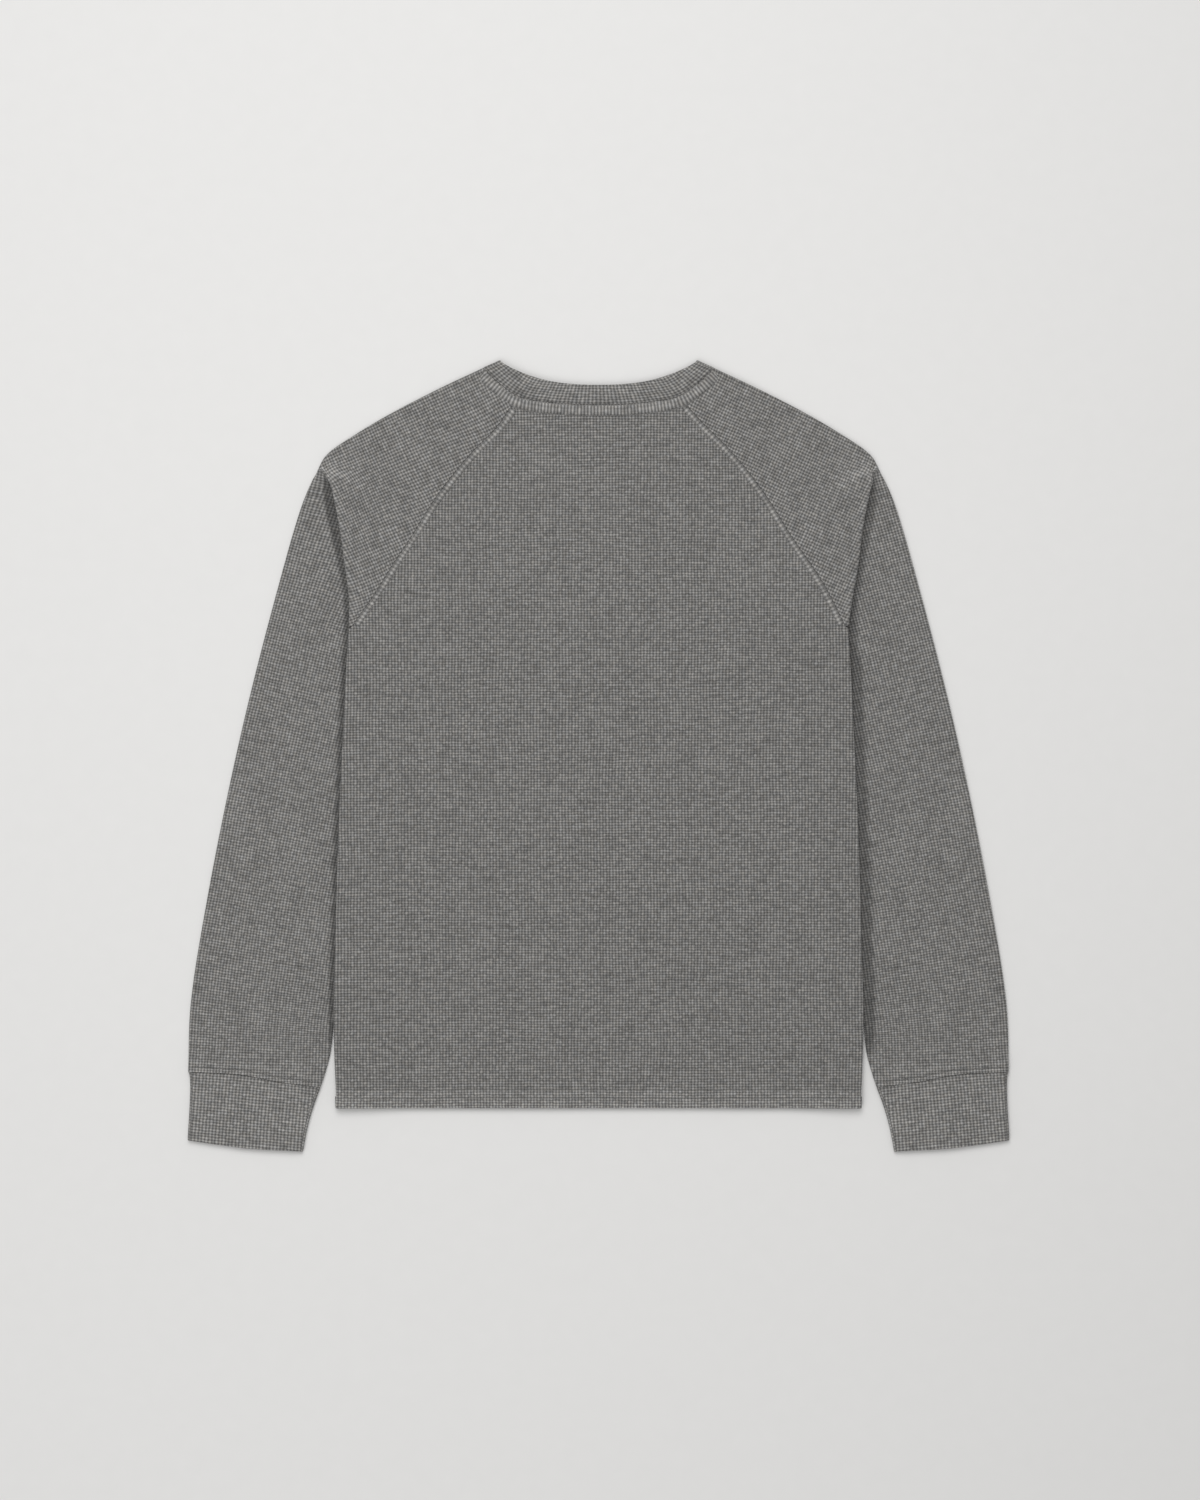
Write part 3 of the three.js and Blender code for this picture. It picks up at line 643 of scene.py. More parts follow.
def edge_places(tube, layer, away, curl):
    """The last places of a layer up to a seam: a square end for curl 0, and for curl 1 a round that
    meets the other layer."""
    places = []
    for n in range(1, EDGE_STEPS + 1):
        share = n / EDGE_STEPS
        turn = share * math.pi / 2
        outer, inner = tube.flat(layer)
        along = share * (tube.reach - SEAM / 2) * away
        rolled = (1 - curl) * SEAM_ROLL * share**2 * layer * tube.up
        height = np.maximum(tube.reach * math.cos(turn), SEAM / 2)
        curled_outer = tube.middle + tube.reach * math.sin(turn) * away + layer * height * tube.up
        gap = lerp(tube.air / 2, SEAM / 2, share)
        curled_inner = tube.middle + share * tube.air / 2 * away + layer * gap * tube.up
        outer = lerp(outer + along - rolled, curled_outer, curl)
        places.append((outer, lerp(inner + along, curled_inner, curl)))
    return places


def graded(length, fine, coarse, growth=0.22):
    """Distances from 0 to a length, close together at 0 and further apart inside."""
    at = [0.0]
    while at[-1] < length:
        at.append(at[-1] + min(coarse, fine + growth * at[-1]))
    return np.array(at) * length / at[-1]


def graded_both(length, fine, coarse):
    half = graded(length / 2, fine, coarse)
    return np.concatenate([half, length - half[-2::-1]])


# Meshes


def wall_faces(rows, columns, ring):
    """The faces of a wall of cloth with outer and inner points on a grid, closed at its edges."""
    last_row = rows if ring else rows - 1
    i, j = np.meshgrid(np.arange(last_row), np.arange(columns - 1), indexing="ij")
    i, j = i.ravel(), j.ravel()

    def outer(row, column):
        return (row % rows) * columns + column

    def inner(row, column):
        return outer(row, column) + rows * columns

    faces = [
        np.stack([outer(i, j), outer(i + 1, j), outer(i + 1, j + 1), outer(i, j + 1)], 1),
        np.stack([inner(i, j), inner(i, j + 1), inner(i + 1, j + 1), inner(i + 1, j)], 1),
    ]
    r = np.arange(last_row)
    end = columns - 1
    faces.append(np.stack([outer(r, 0), inner(r, 0), inner(r + 1, 0), outer(r + 1, 0)], 1))
    faces.append(np.stack([outer(r, end), outer(r + 1, end), inner(r + 1, end), inner(r, end)], 1))
    if not ring:
        c = np.arange(end)
        w = rows - 1
        faces.append(np.stack([outer(0, c), outer(0, c + 1), inner(0, c + 1), inner(0, c)], 1))
        faces.append(np.stack([outer(w, c), inner(w, c), inner(w, c + 1), outer(w, c + 1)], 1))
    return np.vstack(faces)


def enclosed_volume(points, faces):
    a, b, c, d = (points[faces[:, n]] for n in range(4))
    return np.einsum("ij,ij->", a, np.cross(b, c)) + np.einsum("ij,ij->", a, np.cross(c, d))


def grained_mesh(name, points, faces, grain, material):
    """A smooth mesh in metres from points in millimetres, with its grain in stitches as a UV map."""
    mesh = bpy.data.meshes.new(name)
    mesh.from_pydata((skewed(points) * MM).tolist(), [], faces)
    corners = np.zeros(len(mesh.loops), np.int32)
    mesh.loops.foreach_get("vertex_index", corners)
    layer = mesh.uv_layers.new(name="grain")
    layer.data.foreach_set("uv", grain[corners].astype(np.float32).ravel())
    mesh.materials.append(material)
    mesh.shade_smooth()
    return mesh


def on_the_top(mesh):
    piece = bpy.data.objects.new(mesh.name, mesh)
    bpy.context.scene.collection.objects.link(piece)
    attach(piece, "root")
    return piece


def cloth_piece(name, outer, inner, grain, material, shade, ring=False):
    """A wall of cloth between grids of outer and inner points, with the tone of its yarn at each:
    painted shade and highlights, and its tone at the sewing.
    """
    rows, columns = outer.shape[:2]
    points = np.concatenate([outer.reshape(-1, 3), inner.reshape(-1, 3)])
    if not np.isfinite(points).all():
        raise ValueError(f"{name} has a point that isn't finite")
    faces = wall_faces(rows, columns, ring)
    if enclosed_volume(points, faces) < 0:
        faces = faces[:, ::-1]
    doubled = np.concatenate([grain.reshape(-1, 2)] * 2)
    mesh = grained_mesh(name, points, faces.tolist(), doubled, material)
    # painted shadow and highlights, with the tone at the sewing, which the material lays on the yarn
    tones = mesh.attributes.new("seam_tone", "FLOAT", "POINT")
    tones.data.foreach_set("value", np.concatenate([shade.ravel()] * 2).astype(np.float32))
    mesh.set_sharp_from_angle(angle=SHARP_ANGLE)
    mesh.validate()
    piece = on_the_top(mesh)
    return piece


def mirrored_grids(*grids):
    """The same grids on the wearer's left."""
    return [grid * np.array([-1, 1, 1][: grid.shape[-1]]) for grid in grids]


def groove(distance):
    """How far a row of stitches draws the cloth down beside it, from 0 to 1."""
    return bell(distance, GROOVE_WIDTH)


# Materials


class Nodes:
    """Short calls for the nodes of one material."""

    def __init__(self, name):
        self.material = bpy.data.materials.new(name)
        self.material.use_nodes = True
        self.tree = self.material.node_tree
        self.shader = self.tree.nodes["Principled BSDF"]

    def add(self, kind, *inputs, **settings):
        node = self.tree.nodes.new(kind)
        for key, value in settings.items():
            setattr(node, key, value)
        for socket, value in zip(node.inputs, inputs):
            self.put(socket, value)
        return node

    def put(self, socket, value):
        if isinstance(value, bpy.types.NodeSocket):
            self.tree.links.new(value, socket)
        elif value is not None:
            socket.default_value = value

    def math(self, operation, a, b=None, c=None):
        return self.add("ShaderNodeMath", a, b, c, operation=operation).outputs[0]

    def vector(self, operation, a, b=None):
        node = self.add("ShaderNodeVectorMath", a, b, operation=operation)
        return node.outputs["Vector"]

    def scaled(self, vector, factor):
        node = self.add("ShaderNodeVectorMath", vector, operation="SCALE")
        node.inputs["Scale"].default_value = factor
        return node.outputs["Vector"]

    def noise(self, vector, scale, detail=2.0, roughness=0.5):
        node = self.add("ShaderNodeTexNoise")
        self.put(node.inputs["Vector"], vector)
        node.inputs["Scale"].default_value = scale
        node.inputs["Detail"].default_value = detail
        node.inputs["Roughness"].default_value = roughness
        return node.outputs

    def strayed(self, vector, scale, detail, reach):
        """An offset either way, which changes along the cloth."""
        colour = self.noise(vector, scale, detail)["Color"]
        return self.scaled(self.vector("SUBTRACT", colour, (0.5, 0.5, 0.5)), reach)

    def range(self, value, low, high, to_low, to_high):
        node = self.add("ShaderNodeMapRange", value, low, high, to_low, to_high)
        return node.outputs["Result"]

    def mix(self, factor, a, b, blend="MIX"):
        node = self.add("ShaderNodeMix", data_type="RGBA", blend_type=blend)
        self.put(node.inputs["Factor"], factor)
        self.put(node.inputs["A"], a)
        self.put(node.inputs["B"], b)
        return node.outputs["Result"]

    def coloured(self, colour, tone):
        grey = self.add("ShaderNodeCombineXYZ", tone, tone, tone).outputs["Vector"]
        self.put(self.shader.inputs["Base Color"], self.mix(1.0, colour, grey, "MULTIPLY"))

    def bumped(self, height, strength, distance):
        node = self.add("ShaderNodeBump")
        node.inputs["Strength"].default_value = strength
        node.inputs["Distance"].default_value = distance
        self.put(node.inputs["Height"], height)
        self.put(self.shader.inputs["Normal"], node.outputs["Normal"])


def ridges(nodes, along_thread):
    """Rounded ridges, 1 on the middle of each and 0 half way between two."""
    angle = nodes.math("MULTIPLY", along_thread, 2 * math.pi)
    wave = nodes.math("COSINE", angle)
    return nodes.math("MULTIPLY_ADD", wave, 0.5, 0.5)


def waffle_knit(name, tone, wander=1.0, course_share=0.46, depth=1.0):
    """Heather yarn in a grid of ridges and pits, darker in the pits with the yarn's own tone and painted
    shade. The grain counts stitches across and along, and wanders off its straight lines as hand-pulled
    cloth does."""
    if name in bpy.data.materials:
        return bpy.data.materials[name]
    colours = bpy.context.scene.thermal_top_colours
    cloth = bpy.context.scene.thermal_top_cloth
    nodes = Nodes(name)
    grain = nodes.add("ShaderNodeUVMap", uv_map="grain").outputs["UV"]
    drift = nodes.strayed(grain, 0.03, 1.0, DRIFT * wander)
    shake = nodes.strayed(grain, 0.7, 2.0, SHAKE * wander)
    place = nodes.vector("ADD", nodes.vector("ADD", grain, drift), shake)
    across = nodes.add("ShaderNodeSeparateXYZ", place).outputs
    wales = ridges(nodes, across["X"])
    courses = ridges(nodes, across["Y"])
    crate = nodes.math("MULTIPLY", wales, 1 - course_share)
    crate = nodes.math("MULTIPLY_ADD", courses, course_share, crate)

    cell = nodes.vector("FLOOR", nodes.vector("ADD", place, (0.5, 0.5, 0.5)))
    per_stitch = nodes.add("ShaderNodeTexWhiteNoise", cell, noise_dimensions="3D").outputs["Value"]
    streaks = nodes.noise(nodes.vector("MULTIPLY", place, (0.13, 1.0, 1.0)), 1.2, 3.0, 0.6)["Fac"]
    fibres = nodes.noise(nodes.vector("MULTIPLY", place, (1.0, 2.2, 1.0)), 6.0, 3.0, 0.7)["Fac"]
    mottle = nodes.noise(place, 0.09, 3.0, 0.6)["Fac"]
    shine = nodes.math("MULTIPLY", streaks, HEATHER[1])
    for unevenness, weight in ((per_stitch, HEATHER[0]), (fibres, HEATHER[2]), (mottle, HEATHER[3])):
        shine = nodes.math("MULTIPLY_ADD", unevenness, weight, shine)
    shine = nodes.range(shine, *HEATHER_RANGE, *HEATHER_TONES)
    uneven = nodes.math("MULTIPLY_ADD", nodes.math("SUBTRACT", fibres, 0.5), 0.5, crate)
    # Darker in the pits: partly the yarn's own tone, partly painted shade.
    pit_yarn_and_painted_shade = nodes.range(uneven, 0.06, 0.98, 1 - depth, 1.0)
    pit_yarn_and_painted_shade = nodes.math("POWER", pit_yarn_and_painted_shade, 1.25)
    yarn = nodes.mix(pit_yarn_and_painted_shade, (*colours.pit, 1), (*colours.ridge, 1))
    warm = nodes.noise(place, 0.6, 2.0)["Fac"]
    tint = nodes.mix(nodes.range(warm, 0.35, 0.65, 0.0, 1.0), COOL_TINT, WARM_TINT)
    yarn = nodes.mix(1.0, yarn, tint, "MULTIPLY")
    # the mesh's painted shadow and highlights, with its tone at the sewing
    seam_tone = nodes.add("ShaderNodeAttribute", attribute_name="seam_tone").outputs["Fac"]
    shine = nodes.math("MULTIPLY", shine, nodes.math("MULTIPLY", seam_tone, tone))
    nodes.coloured(yarn, shine)

    fuzz = nodes.math("MULTIPLY_ADD", fibres, 0.35, nodes.math("MULTIPLY", streaks, 0.1))
    nodes.bumped(nodes.math("ADD", crate, fuzz), 1.0, cloth.ridge_height)
    nodes.shader.inputs["Roughness"].default_value = 0.93
    nodes.shader.inputs["Specular IOR Level"].default_value = 0.2
    nodes.shader.inputs["Sheen Weight"].default_value = 0.2
    nodes.shader.inputs["Sheen Roughness"].default_value = 0.6
    return nodes.material


def knit_of(part):
    return waffle_knit(f"waffle_knit_{part}", CLOTH_TONE[part])


def sewing_thread():
    """Twisted grey thread. Its grain runs along each stitch."""
    name = "grey_sewing_thread"
    if name in bpy.data.materials:
        return bpy.data.materials[name]
    nodes = Nodes(name)
    grain = nodes.add("ShaderNodeUVMap", uv_map="grain").outputs["UV"]
    across = nodes.add("ShaderNodeSeparateXYZ", grain).outputs
    twist = ridges(nodes, nodes.math("ADD", across["X"], nodes.math("MULTIPLY", across["Y"], 2.0)))
    flecks = nodes.noise(grain, 3.0, 2.0)["Fac"]
    tone = nodes.math("MULTIPLY_ADD", twist, 0.25, nodes.math("MULTIPLY_ADD", flecks, 0.5, 0.6))
    nodes.coloured((*bpy.context.scene.thermal_top_colours.thread, 1), tone)
    nodes.bumped(twist, 0.6, 0.00008)
    nodes.shader.inputs["Roughness"].default_value = 0.7
    return nodes.material


# Edges of the sleeves and panels at the neckband


def neck_inset(layer):
    return (CLOTH + air_beside(BAND_CLOTH) / 2) / neck_seam[layer].length


def sleeve_neck_share(share, layer):
    return lerp(neck_inset(layer), raglan_at[layer] - neck_inset(layer), share)


def body_neck_share(share, layer):
    return lerp(0.5, raglan_at[layer] + neck_inset(layer), share)


def beside_neck(share, layer, away=SEAM / 2):
    return neck_seam[layer].at(share) + away * neck_seam[layer].left(share)


# Front and back panels


def side_edge_x(y):
    line = side_edge.line[::-1]
    return np.interp(y, line[:, 1], line[:, 0])


def side_row(y, cloth=CLOTH, air=None):
    x = side_edge_x(y)
    edge = np.array([x, y])
    space = air_at(edge) if air is None else air
    end = x - CLOTH - space / 2
    return {
        "plan": lambda share: np.stack([share * end, np.full_like(share, y)], -1),
        "away": np.array([1.0, 0.0, 0.0]),
        "curl": 1.0,
        "cloth": cloth,
        "air": air,
    }


def raglan_row(step, layer):
    edge = raglan[layer].at(step)
    away = raglan[layer].left(step)
    if step == 0:
        away = -neck_seam[layer].along(raglan_at[layer])
    end = edge - (CLOTH + air_at(edge) / 2) * raglan[layer].left(step)
    neck_end = beside_neck(body_neck_share(1, layer), layer)
    neck_middle = beside_neck(body_neck_share(0, layer), layer)
    middle_y = lerp(neck_middle[1], FOLD_LINE[-1][1], step)

    def plan(share):
        neck = beside_neck(body_neck_share(share, layer), layer)
        if step == 0:
            return neck
        neck_bow = (neck[..., 1] - neck_middle[1]) / (neck_end[1] - neck_middle[1])
        bow = lerp(neck_bow, share ** BOW["panel_edge"], step)
        x = end[0] * lerp(neck[..., 0] / neck_end[0], share, step)
        return np.stack([x, lerp(middle_y, end[1], bow)], -1)

    curl = CORNER_CURL if step == 1 else 0.0
    return {"plan": plan, "away": raised(away), "curl": curl, "cloth": CLOTH, "air": None}


def panel_rows(layer, coarse):
    doubled = {"cloth": DOUBLE_CLOTH, "air": AIR}
    single = {"cloth": CLOTH, "air": air_beside(DOUBLE_CLOTH)}
    in_hem = np.linspace(EDGE_ROUND, HEM_DEPTH, 12)
    above_hem = np.linspace(HEM_DEPTH + EDGE_ROUND, HEM_ROWS[1] + 4, 10)
    low = HEM_Y + above_hem[-1]
    height = SIDE_EDGE[0][1] - low
    steps = raglan["back"].length / coarse
    rows = [side_row(HEM_Y, **doubled)]
    rows += [side_row(HEM_Y + y, **doubled) for y in in_hem]
    rows += [side_row(HEM_Y + y, **single) for y in above_hem[:1]]
    rows += [side_row(HEM_Y + y) for y in above_hem[1:]]
    rows += [side_row(low + y) for y in np.linspace(0, height, int(height / coarse))[1:]]
    rows += [raglan_row(step, layer) for step in np.linspace(1, 0, int(steps))]
    return rows


def panel_grid(layer):
    """Outer and inner places of a panel, its curl and how far each place is from its side."""
    sign = 1 if layer == "back" else -1
    rows = panel_rows(layer, PANEL_SPACING[layer])
    half_width = side_edge_x(0)
    columns = 1 - graded(half_width, PANEL_EDGE, PANEL_SPACING[layer])[::-1] / half_width
    plan = np.stack([row["plan"](columns) for row in rows])
    cloth = np.array([row["cloth"] for row in rows])[:, None] * np.ones(len(columns))
    stated = np.array([[np.nan if row["air"] is None else row["air"]] for row in rows])
    air = np.where(np.isnan(stated), air_at(plan), stated)
    tube = tube_over(plan, cloth, air)
    away = np.stack([row["away"] for row in rows])
    curl = np.array([row["curl"] for row in rows])[:, None]
    edges = edge_places(tube.part((slice(None), -1)), sign, away, curl)
    flat_outer, flat_inner = tube.flat(sign)
    outer = np.concatenate([flat_outer, np.stack([o for o, _ in edges], 1)], 1)
    inner = np.concatenate([flat_inner, np.stack([i for _, i in edges], 1)], 1)
    pinch = EDGE_ROUND / DOUBLE_CLOTH
    outer[0], inner[0] = lerp(outer[0], inner[0], pinch), lerp(inner[0], outer[0], pinch)
    outer = np.concatenate([outer[:, :0:-1] * [-1, 1, 1], outer], 1)
    inner = np.concatenate([inner[:, :0:-1] * [-1, 1, 1], inner], 1)
    x, edge_x = outer[..., 0], outer[:, -1:, 0]
    return outer, inner, curl, np.minimum(np.abs(x - edge_x), np.abs(x + edge_x))


def panel_cloth(layer):
    cloth = bpy.context.scene.thermal_top_cloth
    outer, inner, curl, from_side = panel_grid(layer)
    shade = np.ones(outer.shape[:2])
    grain = skewed(outer[..., :2]) * MM / [cloth.wale_pitch, cloth.course_pitch]
    if layer == "back":
        fade = lerp(1, smoothstep(from_side, 0, RELIEF_FADE), curl)
        above = outer[..., 1] - HEM_Y
        drawn = sum(groove(above - row) for row in HEM_ROWS) * fade
        in_hem = 1 - smoothstep(above, HEM_ROWS[1], HEM_ROWS[1] + 1.5)
        rise = relief(outer[..., :2]) * fade - HEM_GROOVE_DEPTH * drawn
        outer[..., 2] += rise
        inner[..., 2] += np.maximum(rise, 0)
        # painted shade in the stitch grooves, lighter over the doubled hem, and a painted highlight
        # along its fold
        shade += ROW_SHADE * drawn + HEM_TONE * in_hem + HEM_FOLD_HIGHLIGHT * bell(above - 1.2, 1.2)
    piece = cloth_piece(f"{layer}_panel_cloth", outer, inner, grain, knit_of(layer), shade)
    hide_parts(f"{layer}_panel")


# Sleeves


def bowed_line(start, end, bows):
    """A line between two edges, bowed as other lines are. Each bow has its own weight."""

    def plan(share):
        at = lerp(start, end, share[:, None])
        for line, weight in bows:
            ends = line(np.array([0.0, 1.0]))
            at = at + weight * (line(share) - lerp(ends[0], ends[1], share[:, None]))
        return at

    return plan


def neck_line(layer):
    return lambda share: beside_neck(sleeve_neck_share(share, layer), layer)


def fold_plan(share):
    return fold_line.at(share * (1 - fold_inset))


def raglan_plan(step, layer):
    if step == 0:
        return neck_line(layer)
    outer = overarm.at(step * shoulder_at)
    inner = raglan[layer].at(step)
    start = outer - (CLOTH + air_at(outer) / 2) * overarm.left(step * shoulder_at)
    end = inner + (CLOTH + air_at(inner) / 2) * raglan[layer].left(step)
    bows = [(neck_line(layer), (1 - step) ** BOW["neck"]), (fold_plan, step ** BOW["fold"])]
    return bowed_line(start, end, bows)


def raglan_line(step, layer, columns):
    shared = raglan_plan(step, "back")(columns)
    own = raglan_plan(step, layer)(columns)
    own_share = lerp(1, columns ** BOW["own_seam"], smoothstep(step, 0, NECK_SHARE))
    plan = lerp(shared, own, own_share[:, None])
    inner_away = -raglan[layer].left(step) if step > 0 else neck_seam[layer].along(raglan_at[layer])
    tube = tube_over(plan)
    ways = {"outer_away": overarm.left(step * shoulder_at), "inner_away": inner_away, "curl": 0.0}
    return {"tube": tube, "unrolled": plan, "region": "raglan", **ways}


def pleat_line(lower, step, columns):
    line = pleat_plan(columns * (1 - fold_inset), lower, step)
    top = tube_over(line["start"])
    share = (line["down"] / line["drop"])[:, None]
    level = unit(lerp(top.up, np.array([0.0, 0.0, 1.0]), share))
    angle = line["angle"][:, None]
    up = unit(level * np.cos(angle) + raised(line["outward"]) * np.sin(angle))
    heights = lerp(top.middle[:, 2], TUBE_REACH, share[:, 0])
    tube = Tube(raised(line["at"], heights), up, CLOTH, AIR)
    rolled = line["start"] + line["outward"] * (math.pi * FOLD_RADIUS * step)
    return {
        "tube": tube,
        "unrolled": line["at"] if lower else rolled,
        "region": "tube" if lower else "raglan",
        "outer_away": overarm.left(shoulder_at),
        "inner_away": fold_line.along(1),
        "curl": CORNER_CURL if not lower and step == 0 else 1.0,
    }


def beside_cuff_seam(below):
    inset = (DOUBLE_CLOTH + AIR / 2) / cuff_seam.length

    def plan(share):
        at = lerp(inset, 1 - inset, share)
        return cuff_seam.at(at) + below * cuff_seam.left(at)

    return plan


def tube_line(step, columns):
    air = lerp(AIR, air_beside(DOUBLE_CLOTH), float(smoothstep(step, 1 - CUFF_FADE, 1)))
    outer_at = lerp(pleat_end_at, 1, step)
    outer_away = overarm.left(outer_at)
    inner_away = -underarm_seam.left(step)
    start = overarm.at(outer_at) - (CLOTH + air / 2) * outer_away
    end = underarm_seam.at(step) - (CLOTH + air / 2) * inner_away
    cuff = beside_cuff_seam(-SEAM / 2)
    bows = [(pleat_end, (1 - step) ** BOW["pleat"]), (cuff, step ** BOW["cuff"])]
    plan = cuff(columns) if step == 1 else bowed_line(start, end, bows)(columns)
    ways = {"outer_away": outer_away, "inner_away": inner_away, "curl": 1.0}
    return {"tube": tube_on_table(plan, CLOTH, air), "unrolled": plan, "region": "tube", **ways}


def sleeve_lines(layer, columns):
    raglan_steps = graded(*RAGLAN_STEPS)[:-1]
    folds = np.linspace(0, 1, FOLD_STEPS + 1)
    near_cuff = 1 - np.arange(CUFF_LINES, -1, -1) * CUFF_LINE_STEP
    tube_steps = 1 - graded(*TUBE_STEPS)[::-1]
    above_cuff = tube_steps[tube_steps < near_cuff[0] - CUFF_LINE_GAP]
    tube_steps = np.concatenate([above_cuff, near_cuff])
    lines = [raglan_line(step, layer, columns) for step in raglan_steps]
    lines += [pleat_line(False, step, columns) for step in folds]
    lines += [pleat_line(True, step, columns) for step in folds]
    lines += [tube_line(step, columns) for step in tube_steps[1:]]
    return lines


def raglan_grain(points):
    """Stitches across and along the sleeve's cloth between the neck and the pleat."""
    cloth = bpy.context.scene.thermal_top_cloth
    turn = math.radians(RAGLAN_GRAIN)
    along = points @ [math.cos(turn), math.sin(turn)]
    across = points @ [-math.sin(turn), math.cos(turn)]
    return np.stack([across / cloth.wale_pitch, along / cloth.sleeve_course_pitch], -1) * MM


def tube_grain(points, side):
    """The same below the pleat, where the ridges follow the outer edge. Side is 1 on the back."""
    cloth = bpy.context.scene.thermal_top_cloth
    away, reach = sleeve_grain.nearest(points, 200)
    return np.stack([side * away / cloth.sleeve_wale_pitch, reach / cloth.sleeve_course_pitch], -1) * MM


def sleeve_layer(lines, layer):
    """Places and grain of one layer, from the outer edge to the seam."""
    outer_rows, inner_rows, grain_rows = [], [], []
    for line in lines:
        tube = line["tube"]
        outer, inner = tube.flat(layer)
        edges = edge_places(tube.part(-1), layer, raised(line["inner_away"]), line["curl"])
        outer_rows.append(np.vstack([outer, *[o[None] for o, _ in edges]]))
        inner_rows.append(np.vstack([inner, *[i[None] for _, i in edges]]))
        beyond = np.linspace(0, 1, EDGE_STEPS + 1)[1:, None] * tube.reach[-1] * line["inner_away"]
        plan = skewed(np.vstack([line["unrolled"], line["unrolled"][-1] + beyond]))
        grain = raglan_grain(plan) if line["region"] == "raglan" else tube_grain(plan, layer)
        grain_rows.append(grain)
    return np.stack(outer_rows), np.stack(inner_rows), np.stack(grain_rows)


def cuff_end_sewing(plan, is_tube, fade):
    """How the sleeve's cloth rises, and its painted shade and highlights, at the seam and the stitches
    of the cuff.
    """
    from_cuff, _ = cuff_seam.nearest(plan)
    near = is_tube & (plan[..., 1] < CUFF_SEWING_Y)
    drawn = np.where(near, groove(from_cuff - CUFF_ROW), 0) * fade
    at_seam = np.where(near, bell(from_cuff, CUFF_SEAM_LINE), 0)
    edge = np.where(near, smoothstep(-from_cuff, -CUFF_ROW, -CUFF_ROW + 1.2), 0)
    puff = np.where(near, bell(from_cuff - CUFF_ROW - CUFF_PUFF_AT, CUFF_PUFF_WIDTH), 0)
    rise = (CUFF_EDGE_RISE * edge + CUFF_PUFF_RISE * puff) * fade - GROOVE_DEPTH * drawn
    # painted shade in the groove and the seam, painted highlights on the raised cloth
    tone = ROW_SHADE * drawn + CUFF_SEAM_SHADE * at_seam + CUFF_EDGE_HIGHLIGHT * edge + CUFF_PUFF_HIGHLIGHT * puff
    return rise, tone


def right_sleeve():
    """Outer and inner places, grain, tones and area of the wearer's right sleeve."""
    columns = graded_both(*SLEEVE_ACROSS) / SLEEVE_ACROSS[0]
    lines = sleeve_lines("back", columns)
    upper_outer, upper_inner, upper_grain = sleeve_layer(lines, 1)
    lower_outer, lower_inner, lower_grain = sleeve_layer(sleeve_lines("front", columns), -1)

    plan = upper_outer[..., :2]
    is_tube = np.array([line["region"] == "tube" for line in lines])[:, None]
    curl = np.array([line["curl"] for line in lines])[:, None]
    from_overarm, _ = overarm.nearest(plan, 200)
    from_seam = np.linalg.norm(plan - plan[:, -1:], axis=-1)
    fade = smoothstep(from_overarm, 0, RELIEF_FADE)
    fade = fade * lerp(1, smoothstep(from_seam, 0, RELIEF_FADE), curl)
    open_cloth = np.where(is_tube, smoothstep(beyond_body(plan), 6, 36), 1)
    sewn_rise, painted_light_at_cuff = cuff_end_sewing(plan, is_tube, fade)
    rise = relief(plan) * fade * open_cloth + sewn_rise
    # lighter right beside the raglan seam, with painted shade in a groove a little further and the
    # painted shoulder highlights
    by_raglan = RAGLAN_EDGE_TONE * bell(from_seam - 1, 1.1) + RAGLAN_LINE_SHADE * groove(from_seam - 2.9)
    shade = 1 + painted_light_at_cuff + np.where(is_tube, 0, shoulder_light(plan) + by_raglan)
    upper_outer[..., 2] += rise
    upper_inner[..., 2] += np.maximum(rise, 0)

    turns = []
    for angle in TURN_ANGLES:
        places = [line["tube"].part(0).turned(raised(line["outer_away"]), angle) for line in lines]
        outer = np.stack([o for o, _ in places])
        inner = np.stack([i for _, i in places])
        past = (math.pi / 2 - angle) * TUBE_REACH
        step = upper_grain[:, 0] - upper_grain[:, 1]
        width = np.linalg.norm(plan[:, 0] - plan[:, 1], axis=-1)[:, None]
        turns.append((outer, inner, upper_grain[:, 0] + step / np.maximum(width, 0.05) * past))
    outer = join_layers(upper_outer, [o for o, _, _ in turns], lower_outer)
    inner = join_layers(upper_inner, [i for _, i, _ in turns], lower_inner)
    grain = join_layers(upper_grain, [g for _, _, g in turns], lower_grain)
    plain = [np.ones((len(lines), 1))] * len(turns)
    area = 2 * surface_area(0.5 * (upper_outer + upper_inner))
    shades = {}
    for side in ("right", "left"):
        shaded = shade - np.where(is_tube, SHADE_DEPTH[side] * body_shadow(plan, side), 0)
        shades[side] = np.concatenate([shaded[:, ::-1], *plain, np.ones_like(shade)], 1)
    return outer, inner, grain, shades, area


def beyond_body(plan):
    """How far outside the body and the fold points of the sleeve lie."""
    y = plan[..., 1]
    fold = fold_line.line[::-1]
    side = side_edge.line[::-1]
    fold_x = np.interp(y, fold[:, 1], fold[:, 0]) + FOLD_RADIUS + TUBE_REACH
    at_body = np.interp(y, side[:, 1], side[:, 0])
    return plan[..., 0] - np.where(y < SIDE_EDGE[0][1], at_body, fold_x)


def body_shadow(plan, side):
    """How much of the light the body keeps off the sleeve beside it. Right beside the body, and more
    so under the high fold, the shadow comes of itself."""
    heights, right, left = np.array(SHADE_WIDTH).T
    width = np.interp(plan[..., 1], heights, right if side == "right" else left)
    away = beyond_body(plan)
    by_fold = smoothstep(plan[..., 1], 120, 180)
    own = lerp(*OWN_SHADE, by_fold) * np.exp(-np.maximum(away, 0) / OWN_SHADE_REACH)
    return (1 - own) * (1 - smoothstep(away, width - SHADE_SOFT, width + SHADE_SOFT))


